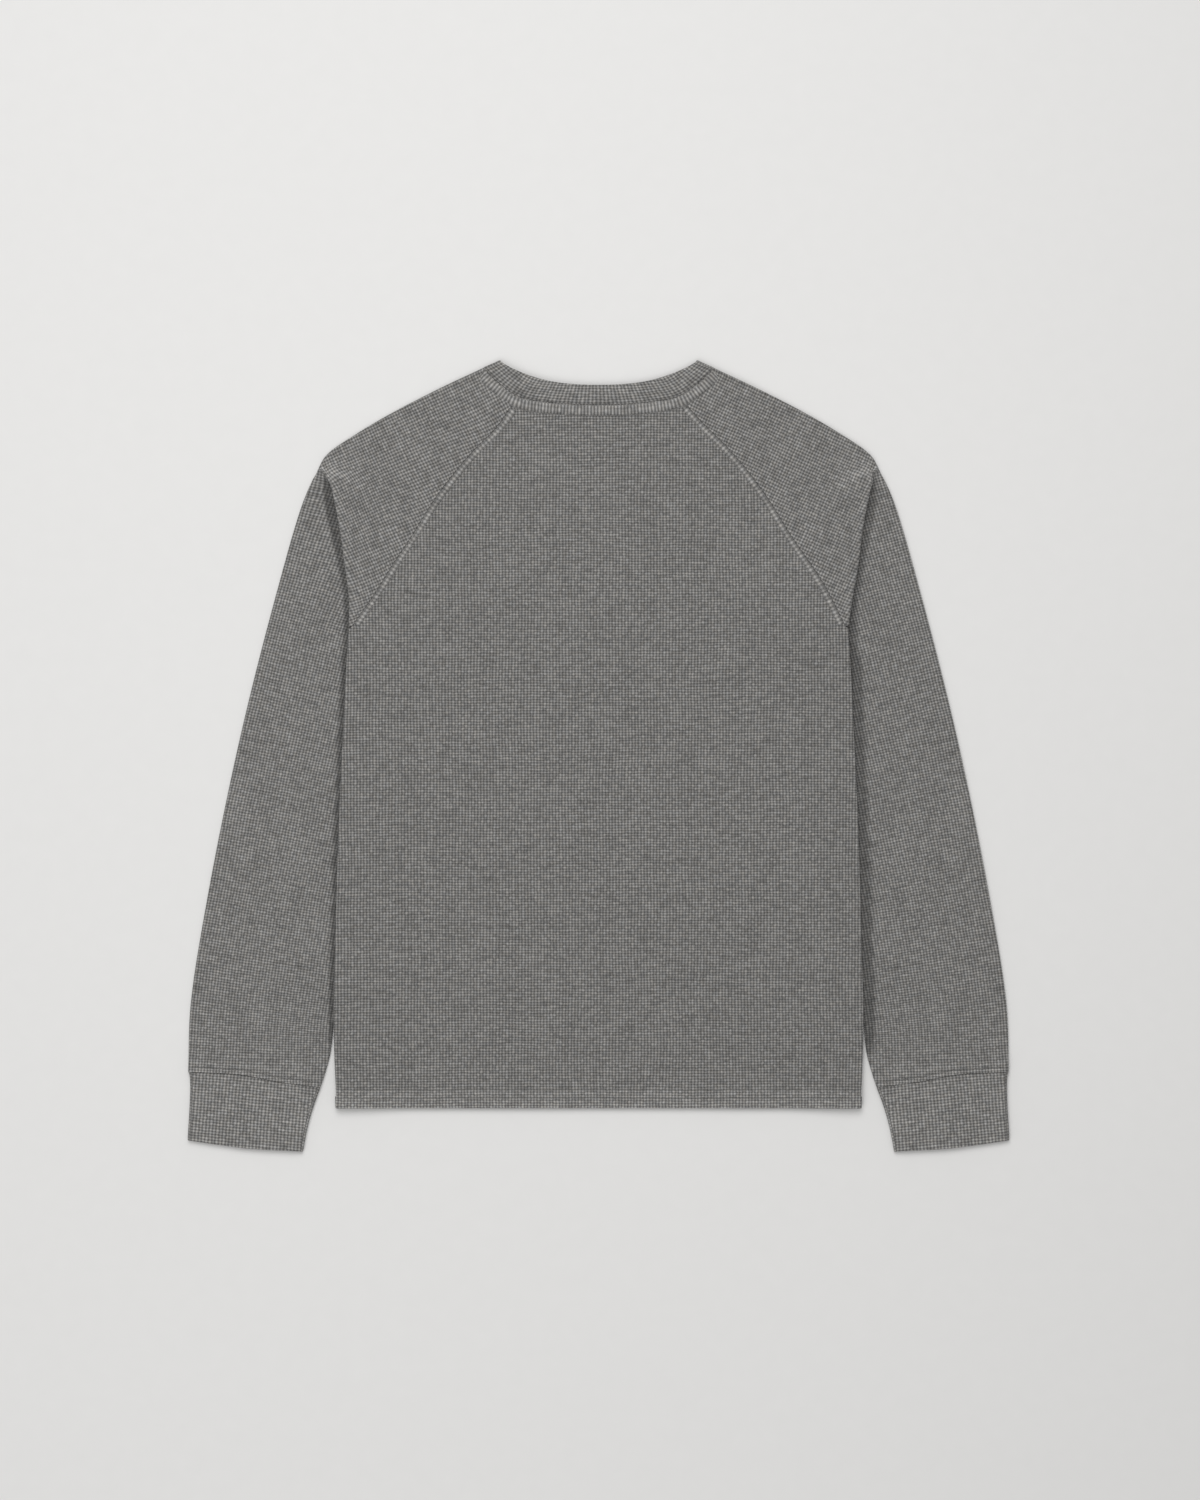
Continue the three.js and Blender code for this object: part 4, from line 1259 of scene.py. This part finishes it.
def shoulder_light(plan):
    """The cloth stands up a little at the point of the shoulder and along the top of the fold."""
    from_point = np.linalg.norm(plan - SHOULDER, axis=-1)
    rim = bell(beyond_body(plan) + 2, 2.6) * (1 - smoothstep(from_point, 20, 90))
    away = plan - STREAK_MIDDLE
    streak = bell(away @ STREAK_ALONG, 20) * bell(away @ STREAK_ASIDE, 4)
    return POINT_LIGHT * bell(from_point, 12) + RIM_LIGHT * rim + STREAK_LIGHT * streak


def join_layers(upper, turns, lower):
    return np.concatenate([upper[:, ::-1], np.stack(turns, 1), lower], 1)


def surface_area(grid):
    a, b, c, d = grid[:-1, :-1], grid[1:, :-1], grid[1:, 1:], grid[:-1, 1:]
    first = np.linalg.norm(np.cross(b - a, c - a), axis=-1).sum()
    return (first + np.linalg.norm(np.cross(c - a, d - a), axis=-1).sum()) / 2


def sleeve_pair():
    outer, inner, grain, shades, area = right_sleeve()
    for side in ("right", "left"):
        if side == "left":
            outer, inner = mirrored_grids(outer, inner)
            grain = grain + [0.4, 0.3]
        material = knit_of(f"sleeve_{side}")
        piece = cloth_piece(f"sleeve_{side}_cloth", outer, inner, grain, material, shades[side])
        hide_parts(f"sleeve_{side}")


# Cuffs


def cuff_row(share, away=None, angle=None, layer=None):
    """One row of a cuff from its seam to its folded end: flat, or on the round of an edge."""
    inset = (DOUBLE_CLOTH + AIR / 2) / cuff_end.length
    seam = beside_cuff_seam(SEAM / 2)(np.array(share))
    end = cuff_end.at(lerp(inset, 1 - inset, share))
    down = unit(end - seam)
    steps = graded_both(1, 0.01, 0.045) * (np.linalg.norm(end - seam) - EDGE_ROUND)
    done = steps / steps[-1]
    inner_edge = share**3 * np.sin(math.pi * done)
    outer_edge = (1 - share) ** 6 * np.sin(math.pi * done**0.5)
    pulled_in = CUFF_PULL * (inner_edge - outer_edge)
    plan = seam + steps[:, None] * down + pulled_in[:, None] * np.array([-down[1], down[0]])
    tube = tube_on_table(plan, DOUBLE_CLOTH, AIR)
    outer, inner = tube.flat(layer) if angle is None else tube.turned(raised(away), angle)
    pinch = EDGE_ROUND / DOUBLE_CLOTH
    beyond = EDGE_ROUND * raised(down)
    last_outer = lerp(outer[-1], inner[-1], pinch) + beyond
    last_inner = lerp(inner[-1], outer[-1], pinch) + beyond
    return np.vstack([outer, last_outer]), np.vstack([inner, last_inner])


def right_cuff():
    columns = graded_both(*CUFF_ACROSS) / CUFF_ACROSS[0]
    over_away = overarm.left(1)
    under_away = -underarm_seam.left(1)
    rows = [cuff_row(share, layer=1) for share in columns[::-1]]
    rows += [cuff_row(0.0, over_away, angle) for angle in TURN_ANGLES]
    rows += [cuff_row(share, layer=-1) for share in columns]
    rows += [cuff_row(1.0, under_away, angle) for angle in TURN_ANGLES[::-1]]
    outer = np.stack([row[0] for row in rows])
    inner = np.stack([row[1] for row in rows])
    upper = slice(0, len(columns))
    plan = outer[upper, :, :2]
    from_edges = np.minimum(columns[::-1], 1 - columns[::-1])[:, None] * CUFF_ACROSS[0]
    fade = smoothstep(from_edges, 0, RELIEF_FADE)
    from_seam, _ = cuff_seam.nearest(plan)
    rolled = bell(from_seam, 1.0)
    rise = relief(plan) * fade - SEAM_ROLL * rolled
    outer[upper, :, 2] += rise
    inner[upper, :, 2] += np.maximum(rise, 0)
    shade = np.ones(outer.shape[:2])
    # painted shade where the cuff's cloth rolls down into the seam
    shade[upper] += CUFF_SEAM_SHADE * rolled
    return outer, inner, cuff_grain(outer, len(columns)), shade


def cuff_grain(outer, columns):
    cloth = bpy.context.scene.thermal_top_cloth
    turn = math.radians(CUFF_GRAIN)
    around = np.linalg.norm(np.diff(outer[:, 10], axis=0), axis=-1)
    around = np.insert(np.cumsum(around), 0, 0)[:, None]
    along = outer[..., :2] @ [math.cos(turn), math.sin(turn)]
    across = outer[..., :2] @ [-math.sin(turn), math.cos(turn)]
    on_top = (np.arange(len(outer)) < columns)[:, None]
    across = np.where(on_top, across, -around + across[:1, 10:11])
    return np.stack([across / cloth.cuff_wale_pitch, along / cloth.cuff_course_pitch], -1) * MM


def cuff_pair():
    outer, inner, grain, shade = right_cuff()
    for side in ("right", "left"):
        if side == "left":
            outer, inner = mirrored_grids(outer, inner)
        piece = cloth_piece(f"cuff_{side}_cloth", outer, inner, grain, knit_of("cuff"), shade, ring=True)
        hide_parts(f"cuff_{side}")


# Neckband


def band_shares(layer):
    sleeve = sleeve_neck_share(graded_both(*BAND_AT_SLEEVE) / BAND_AT_SLEEVE[0], layer)
    body = body_neck_share(1 - graded(*BAND_AT_BODY) / BAND_AT_BODY[0], layer)
    half = np.concatenate([sleeve, [raglan_at[layer]], body])
    return np.concatenate([half, 1 - half[-2::-1]])


def band_row(share, layer, away=None, angle=None, side=None):
    start = sleeve_neck_share(0, layer)
    inset = (BAND_CLOTH + AIR / 2) / band_top[layer].length
    seam = beside_neck(share, layer, -SEAM / 2)
    top = band_top[layer].at(lerp(inset, 1 - inset, (share - start) / (1 - 2 * start)))
    up = unit(top - seam)
    steps = graded_both(1, 0.045, 0.12)
    length = float(np.linalg.norm(top - seam)) - EDGE_ROUND
    tube = tube_over(seam + steps[:, None] * length * up, BAND_CLOTH, AIR)
    outer, inner = tube.flat(side) if angle is None else tube.turned(away, angle)
    pinch = EDGE_ROUND / BAND_CLOTH
    beyond = EDGE_ROUND * raised(up)
    last_outer = lerp(outer[-1], inner[-1], pinch) + beyond
    last_inner = lerp(inner[-1], outer[-1], pinch) + beyond
    return np.vstack([outer, last_outer]), np.vstack([inner, last_inner])


def neckband_grids():
    cloth = bpy.context.scene.thermal_top_cloth
    back, front = band_shares("back"), band_shares("front")
    start = sleeve_neck_share(0, "back")
    away = raised(overarm.left(0))
    rows = [band_row(share, "back", side=1) for share in back]
    rows += [band_row(1 - start, "back", away * [-1, 1, 1], angle) for angle in TURN_ANGLES]
    rows += [band_row(share, "front", side=-1) for share in front[::-1]]
    rows += [band_row(start, "back", away, angle) for angle in TURN_ANGLES[::-1]]
    outer = np.stack([row[0] for row in rows])
    inner = np.stack([row[1] for row in rows])
    upper = slice(0, len(back))
    plan = outer[upper, :, :2]
    along_band = back * neck_seam["back"].length
    from_ends = np.minimum(along_band, neck_seam["back"].length - along_band)[:, None]
    from_seam, _ = neck_seam["back"].nearest(plan)
    rolled = bell(from_seam, 1.1)
    dome = 0.35 * np.sin(math.pi * np.clip(from_seam / 20, 0, 1))
    rise = (relief(plan) + dome) * smoothstep(from_ends, 0, RELIEF_FADE) - SEAM_ROLL * rolled
    outer[upper, :, 2] += rise
    inner[upper, :, 2] += np.maximum(rise, 0)
    shade = np.ones(outer.shape[:2])
    # painted shade where the band rolls down into its seam, and darker towards the seam
    shade[upper] += NECK_SEAM_SHADE * rolled + NECKBAND_FOOT_TONE * (1 - smoothstep(from_seam, 3, 13))
    middle = outer[:, outer.shape[1] // 2]
    around = np.insert(np.cumsum(np.linalg.norm(np.diff(middle, axis=0), axis=-1)), 0, 0)
    steps = np.linalg.norm(outer - outer[:, :1], axis=-1)
    around = np.broadcast_to(around[:, None], steps.shape)
    grain = np.stack([around / cloth.band_wale_pitch, steps / cloth.band_course_pitch], -1) * MM
    return outer, inner, grain, shade


def neckband_cloth():
    outer, inner, grain, shade = neckband_grids()
    piece = cloth_piece("neckband_cloth", outer, inner, grain, knit_of("neckband"), shade, ring=True)
    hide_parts("neckband")


# Raised bands beside the seams


def surface_at(plan):
    """The top of the upper cloth over points of the table, and the way up there."""
    tube = tube_over(plan)
    top, _ = tube.flat(1)
    top[..., 2] += relief(plan)
    return top, tube.up


def band_section(across, rise, square, sunk):
    return rise * (1 - np.abs(2 * across - 1) ** square) - sunk


def band_piece(name, top, up, profile, grain, material, shade):
    """A band of cloth raised from the surface, thin at its edges, with its underside just below."""
    outer = top + up * profile[None, :, None]
    inner = top - up * 0.25
    return cloth_piece(name, outer, inner, grain, material, shade)


def neck_strip():
    """The turned and covered seam allowance that runs round the back neck below the neckband."""
    cloth = bpy.context.scene.thermal_top_cloth
    seam = neck_seam["back"]
    start = sleeve_neck_share(0, "back") * 1.25
    shares = np.linspace(start, 1 - start, int(seam.length / 1.5))
    across = np.linspace(0, 1, 15)
    away = STRIP_START + STRIP_WIDTH * across
    plan = seam.at(shares)[:, None] + away[:, None] * seam.left(shares)[:, None]
    top, up = surface_at(plan)
    ends = smoothstep(np.minimum(shares, 1 - shares) * seam.length, start * seam.length, 9)[:, None]
    top[..., 2] -= (1 - ends) * 0.5
    rise = band_section(across, STRIP_RISE, STRIP_SQUARE, STRIP_SUNK)
    along = shares * seam.length / (cloth.strip_wale_pitch / MM)
    grain = np.stack(np.broadcast_arrays(along[:, None], STRIP_WALES * (across - 0.5)), -1)
    # a broken line of painted shadow along the strip's lower edge
    broken = 0.75 + 0.25 * np.sin(shares * 37) * np.sin(shares * 91 + 1)
    begin, full = STRIP_SHADOW_LINE
    line = broken[:, None] * smoothstep(away, away[-1] - begin, away[-1] - full)
    shade = 1 + STRIP_SHADOW_TONE * line
    material = waffle_knit("covered_neck_seam", 1.16, wander=0.15, course_share=0.2, depth=0.85)
    return band_piece("neck_strip", top, up, rise, grain, material, shade)


def raglan_bands():
    """The topstitched seam allowance on the body's side of each raglan seam."""
    cloth = bpy.context.scene.thermal_top_cloth
    seam = raglan["back"]
    shares = np.linspace(*RAGLAN_BAND_ENDS, int(seam.length / 1.8))
    across = np.linspace(0, 1, 9)
    away = RAGLAN_BAND_START + RAGLAN_BAND_WIDTH * across
    plan = seam.at(shares)[:, None] - away[:, None] * seam.left(shares)[:, None]
    top, up = surface_at(plan)
    rise = band_section(across, RAGLAN_BAND_RISE, RAGLAN_BAND_SQUARE, RAGLAN_BAND_SUNK)
    along = shares * seam.length / (cloth.stitch_length / MM)
    grain = np.stack(np.broadcast_arrays(RAGLAN_BAND_WALES * (across - 0.5), along[:, None]), -1)
    # painted shade at the band's far edge, where it dips into the cloth
    edge = RAGLAN_LINE_SHADE * groove(away - away[-1])
    shade = np.broadcast_to(RAGLAN_BAND_TONE + edge, grain.shape[:2])
    for side in ("right", "left"):
        if side == "left":
            top, up = mirrored_grids(top, up)
        material = waffle_knit("covered_raglan_seam", 1.0, wander=0.15, course_share=0.5)
        band_piece(f"raglan_band_{side}", top, up, rise, grain, material, shade)


# Stitches


def stitch_mesh(points, directions, ups, length, radius):
    """A short rounded stitch at each point, its two ends sunk in the cloth."""
    along = np.linspace(-1, 1, 6)
    around = np.linspace(0, 2 * math.pi, 6, endpoint=False)
    side = unit(np.cross(ups, directions))
    swell = radius * np.sqrt(1 - 0.85 * along**4)
    arch = radius * (1.1 - 2.2 * along**2)
    spine = points[:, None] + directions[:, None] * (along[:, None] * length / 2)
    spine = spine + ups[:, None] * arch[:, None]
    ring = np.cos(around)[:, None] * side[:, None, None] + np.sin(around)[:, None] * ups[:, None, None]
    vertices = spine[:, :, None] + ring * swell[:, None, None]
    count, rings, sides = vertices.shape[:3]
    i, j = np.meshgrid(np.arange(rings - 1), np.arange(sides), indexing="ij")
    i, j = i.ravel(), j.ravel()
    corners = [(i, j), (i, (j + 1) % sides), (i + 1, (j + 1) % sides), (i + 1, j)]
    quads = np.stack([a * sides + b for a, b in corners], 1)
    offsets = np.arange(count)[:, None, None] * rings * sides
    walls = (quads[None] + offsets).reshape(-1, 4).tolist()
    first = np.arange(sides)[::-1]
    last = np.arange(sides) + (rings - 1) * sides
    caps = [(end + n * rings * sides).tolist() for n in range(count) for end in (first, last)]
    twist = along[:, None] * 4 + np.zeros(sides)
    grain = np.stack([twist, np.broadcast_to(np.arange(sides) / sides, twist.shape)], -1)
    grain = np.broadcast_to(grain, (count, rings, sides, 2)) + np.arange(count)[:, None, None, None]
    return vertices.reshape(-1, 3), walls + caps, grain.reshape(-1, 2)


def stitched_rows(name, rows):
    """One piece of thread for rows of stitches. Each row has its points on the cloth, in order, and
    the ways up from them."""
    cloth = bpy.context.scene.thermal_top_cloth
    all_points, all_faces, all_grain = [], [], []
    base = 0
    for line, ups in rows:
        reach = np.insert(np.cumsum(np.linalg.norm(np.diff(line, axis=0), axis=1)), 0, 0)
        pitch = cloth.stitch_length / MM
        middles = np.arange(pitch, reach[-1] - pitch / 2, pitch)

        def on_line(at, values):
            return np.stack([np.interp(at, reach, values[:, k]) for k in range(3)], -1)

        points = on_line(middles, line)
        directions = unit(on_line(middles + 0.4, line) - on_line(middles - 0.4, line))
        upward = unit(on_line(middles, ups))
        radius = cloth.thread_diameter / MM / 2
        vertices, faces, grain = stitch_mesh(points, directions, upward, 0.84 * pitch, radius)
        all_points.append(vertices)
        all_faces += [[n + base for n in face] for face in faces]
        all_grain.append(grain)
        base += len(vertices)
    points, grain = np.vstack(all_points), np.vstack(all_grain)
    piece = on_the_top(grained_mesh(name, points, all_faces, grain, sewing_thread()))
    return piece


def both_sides(rows):
    return rows + [tuple(mirrored_grids(*row)) for row in rows]


def neck_stitches():
    seam = neck_seam["back"]
    start = sleeve_neck_share(0, "back") * 1.6
    shares = np.linspace(start, 1 - start, 240)
    rows = []
    for away in (STRIP_START + NEEDLE_INSET, STRIP_START + STRIP_WIDTH - NEEDLE_INSET):
        top, up = surface_at(seam.at(shares) + away * seam.left(shares))
        rows.append((top + up * (STRIP_RISE * 0.42), up))
    return stitched_rows("neck_stitches", rows)


def raglan_stitches():
    seam = raglan["back"]
    shares = np.linspace(*RAGLAN_STITCH_ENDS, 240)
    rows = []
    far = RAGLAN_BAND_START + RAGLAN_BAND_WIDTH
    for away in (RAGLAN_BAND_START + RAGLAN_INSET, far - RAGLAN_INSET):
        top, up = surface_at(seam.at(shares) - away * seam.left(shares))
        rows.append((top + up * (RAGLAN_BAND_RISE * 0.5), up))
    return stitched_rows("raglan_stitches", both_sides(rows))


def hem_stitches():
    rows = []
    for above in HEM_ROWS:
        y = HEM_Y + above
        x = np.linspace(-side_edge_x(y) + 4, side_edge_x(y) - 4, 300)
        plan = np.stack([x, np.full_like(x, y)], -1)
        tube = tube_over(plan, DOUBLE_CLOTH, AIR) if above < HEM_DEPTH else tube_over(plan)
        top, _ = tube.flat(1)
        top[:, 2] += relief(plan) - GROOVE_DEPTH * THREAD_SINK
        rows.append((top, tube.up))
    return stitched_rows("hem_stitches", rows)


def cuff_stitches():
    shares = np.linspace(0.05, 0.95, 160)
    plan = cuff_seam.at(shares) - CUFF_ROW * cuff_seam.left(shares)
    tube = tube_on_table(plan, CLOTH, air_beside(DOUBLE_CLOTH))
    top, _ = tube.flat(1)
    top[:, 2] += relief(plan) - GROOVE_DEPTH * THREAD_SINK
    return stitched_rows("cuff_stitches", both_sides([(top, tube.up)]))


# The stage


def studio():
    stage = bpy.context.scene.thermal_top_stage
    colours = bpy.context.scene.thermal_top_colours
    size = stage.floor_size / 2
    mesh = bpy.data.meshes.new("floor")
    corners = [(-size, -size), (size, -size), (size, size), (-size, size)]
    mesh.from_pydata([(x, y, -0.0004) for x, y in corners], [], [(0, 1, 2, 3)])
    floor = bpy.data.objects.new("floor", mesh)
    bpy.context.scene.collection.objects.link(floor)
    nodes = Nodes("plain_floor")
    place = nodes.add("ShaderNodeTexCoord").outputs["Object"]
    speckle = nodes.noise(place, 60.0, 4.0)["Fac"]
    dark = tuple(0.97 * c for c in colours.floor)
    nodes.put(nodes.shader.inputs["Base Color"], nodes.mix(speckle, (*dark, 1), (*colours.floor, 1)))
    nodes.shader.inputs["Roughness"].default_value = 0.9
    nodes.shader.inputs["Specular IOR Level"].default_value = 0.15
    mesh.materials.append(nodes.material)

    lamp("key_light", (-0.25, 1.3, 2.4), 2.2, stage.key_power)
    lamp("fill_light", (-0.9, -1.5, 2.4), 2.6, stage.fill_power)

    world = bpy.context.scene.world or bpy.data.worlds.new("studio")
    bpy.context.scene.world = world
    world.use_nodes = True
    background = world.node_tree.nodes["Background"]
    background.inputs["Color"].default_value = (1.0, 1.0, 1.0, 1.0)
    background.inputs["Strength"].default_value = stage.room_light

    camera = bpy.data.objects.new("camera", bpy.data.cameras.new("camera"))
    camera.data.sensor_fit = "AUTO"
    camera.data.sensor_width = 36.0
    camera.data.lens = camera.data.sensor_width * stage.camera_height / stage.framed_height
    camera.data.clip_start = 0.05
    camera.data.clip_end = 20.0
    camera.location = (stage.look_at_x, stage.look_at_y, stage.camera_height)
    bpy.context.scene.collection.objects.link(camera)
    bpy.context.scene.camera = camera
    bpy.context.scene.view_settings.view_transform = "Standard"
    bpy.context.scene.view_settings.look = "None"


def lamp(name, place, size, power):
    """A round soft lamp that shines at the middle of the table."""
    data = bpy.data.lights.new(name, "AREA")
    data.shape = "DISK"
    data.size = size
    data.energy = power
    light = bpy.data.objects.new(name, data)
    light.location = place
    x, y, z = place
    light.rotation_euler = (math.atan2(math.hypot(x, y), z), 0.0, math.atan2(x, -y))
    bpy.context.scene.collection.objects.link(light)


# What a user may change


def length_property(name, description, default):
    return FloatProperty(
        name=name, description=description, default=default, min=0.0, precision=5, unit="LENGTH"
    )


def colour_property(name, description, default):
    return FloatVectorProperty(
        name=name, description=description, default=default, size=3, min=0.0, max=1.0, subtype="COLOR"
    )


class ThermalTopCloth(PropertyGroup):
    """The knit and the sewing thread."""

    wale_pitch: length_property("Wale pitch", "From one ridge to the next across the cloth", 0.00295)
    course_pitch: length_property("Course pitch", "From one ridge to the next along the body", 0.00255)
    sleeve_wale_pitch: length_property("Sleeve wale pitch", "Across the sleeves", 0.00286)
    sleeve_course_pitch: length_property("Sleeve course pitch", "The same on the sleeves", 0.00263)
    cuff_wale_pitch: length_property("Cuff wale pitch", "Across the cuffs, which are stretched", 0.00325)
    cuff_course_pitch: length_property("Cuff course pitch", "Along the cuffs", 0.0027)
    band_wale_pitch: length_property("Neckband wale pitch", "Along the neckband", 0.00345)
    band_course_pitch: length_property("Neckband course pitch", "Across the neckband", 0.00264)
    strip_wale_pitch: length_property("Strip wale pitch", "Along the covered neck seam", 0.0031)
    ridge_height: length_property("Ridge height", "From the pits to the top of the ridges", 0.0007)
    stitch_length: length_property("Stitch length", "Of the topstitching", 0.0038)
    thread_diameter: length_property("Thread diameter", "Of the sewing thread", 0.00042)


class ThermalTopColours(PropertyGroup):
    """The yarn, the thread and the floor."""

    ridge: colour_property("Ridges", "Yarn on top of the ridges", (0.302, 0.296, 0.2845))
    # The pits' colour is the yarn's own darker tone with painted shade in it.
    pit: colour_property("Pits", "Yarn in the pits, in its own shade", (0.0715, 0.0705, 0.0685))
    thread: colour_property("Thread", "Sewing thread", (0.25, 0.245, 0.237))
    floor: colour_property("Floor", "The plain floor", (0.72, 0.715, 0.705))


class ThermalTopStage(PropertyGroup):
    """The camera, straight above the garment, and the lights."""

    camera_height: length_property("Camera height", "Above the floor", 3.0)
    framed_height: length_property("Framed height", "Of the floor that the camera sees", 1.407)
    look_at_x: FloatProperty(
        name="Look at X", description="Where the camera looks", default=0.0014, unit="LENGTH"
    )
    look_at_y: FloatProperty(
        name="Look at Y", description="Where the camera looks", default=0.0055, unit="LENGTH"
    )
    floor_size: length_property("Floor size", "Of the square floor", 8.0)
    key_power: FloatProperty(name="Key light", description="Its power", default=46.0, unit="POWER")
    fill_power: FloatProperty(name="Fill light", description="Its power", default=24.0, unit="POWER")
    room_light: FloatProperty(name="Room light", description="From all round", default=0.42, min=0.0)


# Operators and the sidebar


class THERMALTOP_OT_back_panel(Operator):
    """Lay the back panel, uppermost, over the pleats and the sleeves."""

    bl_idname = "thermal_top.back_panel"
    bl_label = "Back Panel"

    def execute(self, context):
        panel_cloth("back")
        return {"FINISHED"}


class THERMALTOP_OT_front_panel(Operator):
    """Lay the front panel on the floor."""

    bl_idname = "thermal_top.front_panel"
    bl_label = "Front Panel"

    def execute(self, context):
        panel_cloth("front")
        return {"FINISHED"}


class THERMALTOP_OT_sleeves(Operator):
    """Make both sleeves, each pleated under at the shoulder and turned down beside the body."""

    bl_idname = "thermal_top.sleeves"
    bl_label = "Sleeves"

    def execute(self, context):
        sleeve_pair()
        return {"FINISHED"}


class THERMALTOP_OT_cuffs(Operator):
    """Make both doubled cuffs."""

    bl_idname = "thermal_top.cuffs"
    bl_label = "Cuffs"

    def execute(self, context):
        cuff_pair()
        return {"FINISHED"}


class THERMALTOP_OT_neckband(Operator):
    """Make the doubled neckband."""

    bl_idname = "thermal_top.neckband"
    bl_label = "Neckband"

    def execute(self, context):
        neckband_cloth()
        return {"FINISHED"}


class THERMALTOP_OT_covered_seams(Operator):
    """Raise the covered neck seam and the bands beside the raglan seams."""

    bl_idname = "thermal_top.covered_seams"
    bl_label = "Covered Seams"

    def execute(self, context):
        neck_strip()
        raglan_bands()
        return {"FINISHED"}


class THERMALTOP_OT_stitching(Operator):
    """Sew the rows of stitches at the neck, the raglan seams, the hem and the cuffs."""

    bl_idname = "thermal_top.stitching"
    bl_label = "Stitching"

    def execute(self, context):
        neck_stitches()
        raglan_stitches()
        hem_stitches()
        cuff_stitches()
        return {"FINISHED"}


class THERMALTOP_OT_stage(Operator):
    """Set the floor, the soft studio light and the camera."""

    bl_idname = "thermal_top.stage"
    bl_label = "Stage"

    def execute(self, context):
        studio()
        return {"FINISHED"}


class THERMALTOP_PT_sidebar(Panel):
    """The thermal top's sizes, colours and pieces."""

    bl_label = "Thermal Top"
    bl_idname = "THERMALTOP_PT_sidebar"
    bl_space_type = "VIEW_3D"
    bl_region_type = "UI"
    bl_category = "Thermal Top"

    def draw(self, context):
        layout = self.layout
        for settings in ("thermal_top_cloth", "thermal_top_colours", "thermal_top_stage"):
            box = layout.box()
            group = getattr(context.scene, settings)
            for name in group.__annotations__:
                box.prop(group, name)
        for operator in OPERATORS:
            layout.operator(operator.bl_idname)


OPERATORS = (
    THERMALTOP_OT_covered_seams,
    THERMALTOP_OT_front_panel,
    THERMALTOP_OT_back_panel,
    THERMALTOP_OT_sleeves,
    THERMALTOP_OT_cuffs,
    THERMALTOP_OT_neckband,
    THERMALTOP_OT_stitching,
    THERMALTOP_OT_stage,
)
SETTINGS = {
    "thermal_top_cloth": ThermalTopCloth,
    "thermal_top_colours": ThermalTopColours,
    "thermal_top_stage": ThermalTopStage,
}


def register():
    for cls in (*SETTINGS.values(), *OPERATORS, THERMALTOP_PT_sidebar):
        bpy.utils.register_class(cls)
    for name, group in SETTINGS.items():
        setattr(bpy.types.Scene, name, PointerProperty(type=group))


def unregister():
    for name in SETTINGS:
        delattr(bpy.types.Scene, name)
    for cls in (THERMALTOP_PT_sidebar, *reversed(OPERATORS), *reversed(list(SETTINGS.values()))):
        bpy.utils.unregister_class(cls)


def main():
    register()
    bpy.ops.thermal_top.covered_seams()
    bpy.ops.thermal_top.front_panel()
    bpy.ops.thermal_top.back_panel()
    bpy.ops.thermal_top.sleeves()
    bpy.ops.thermal_top.cuffs()
    bpy.ops.thermal_top.neckband()
    bpy.ops.thermal_top.stitching()
    bpy.ops.thermal_top.stage()


if __name__ == "__main__":
    main()
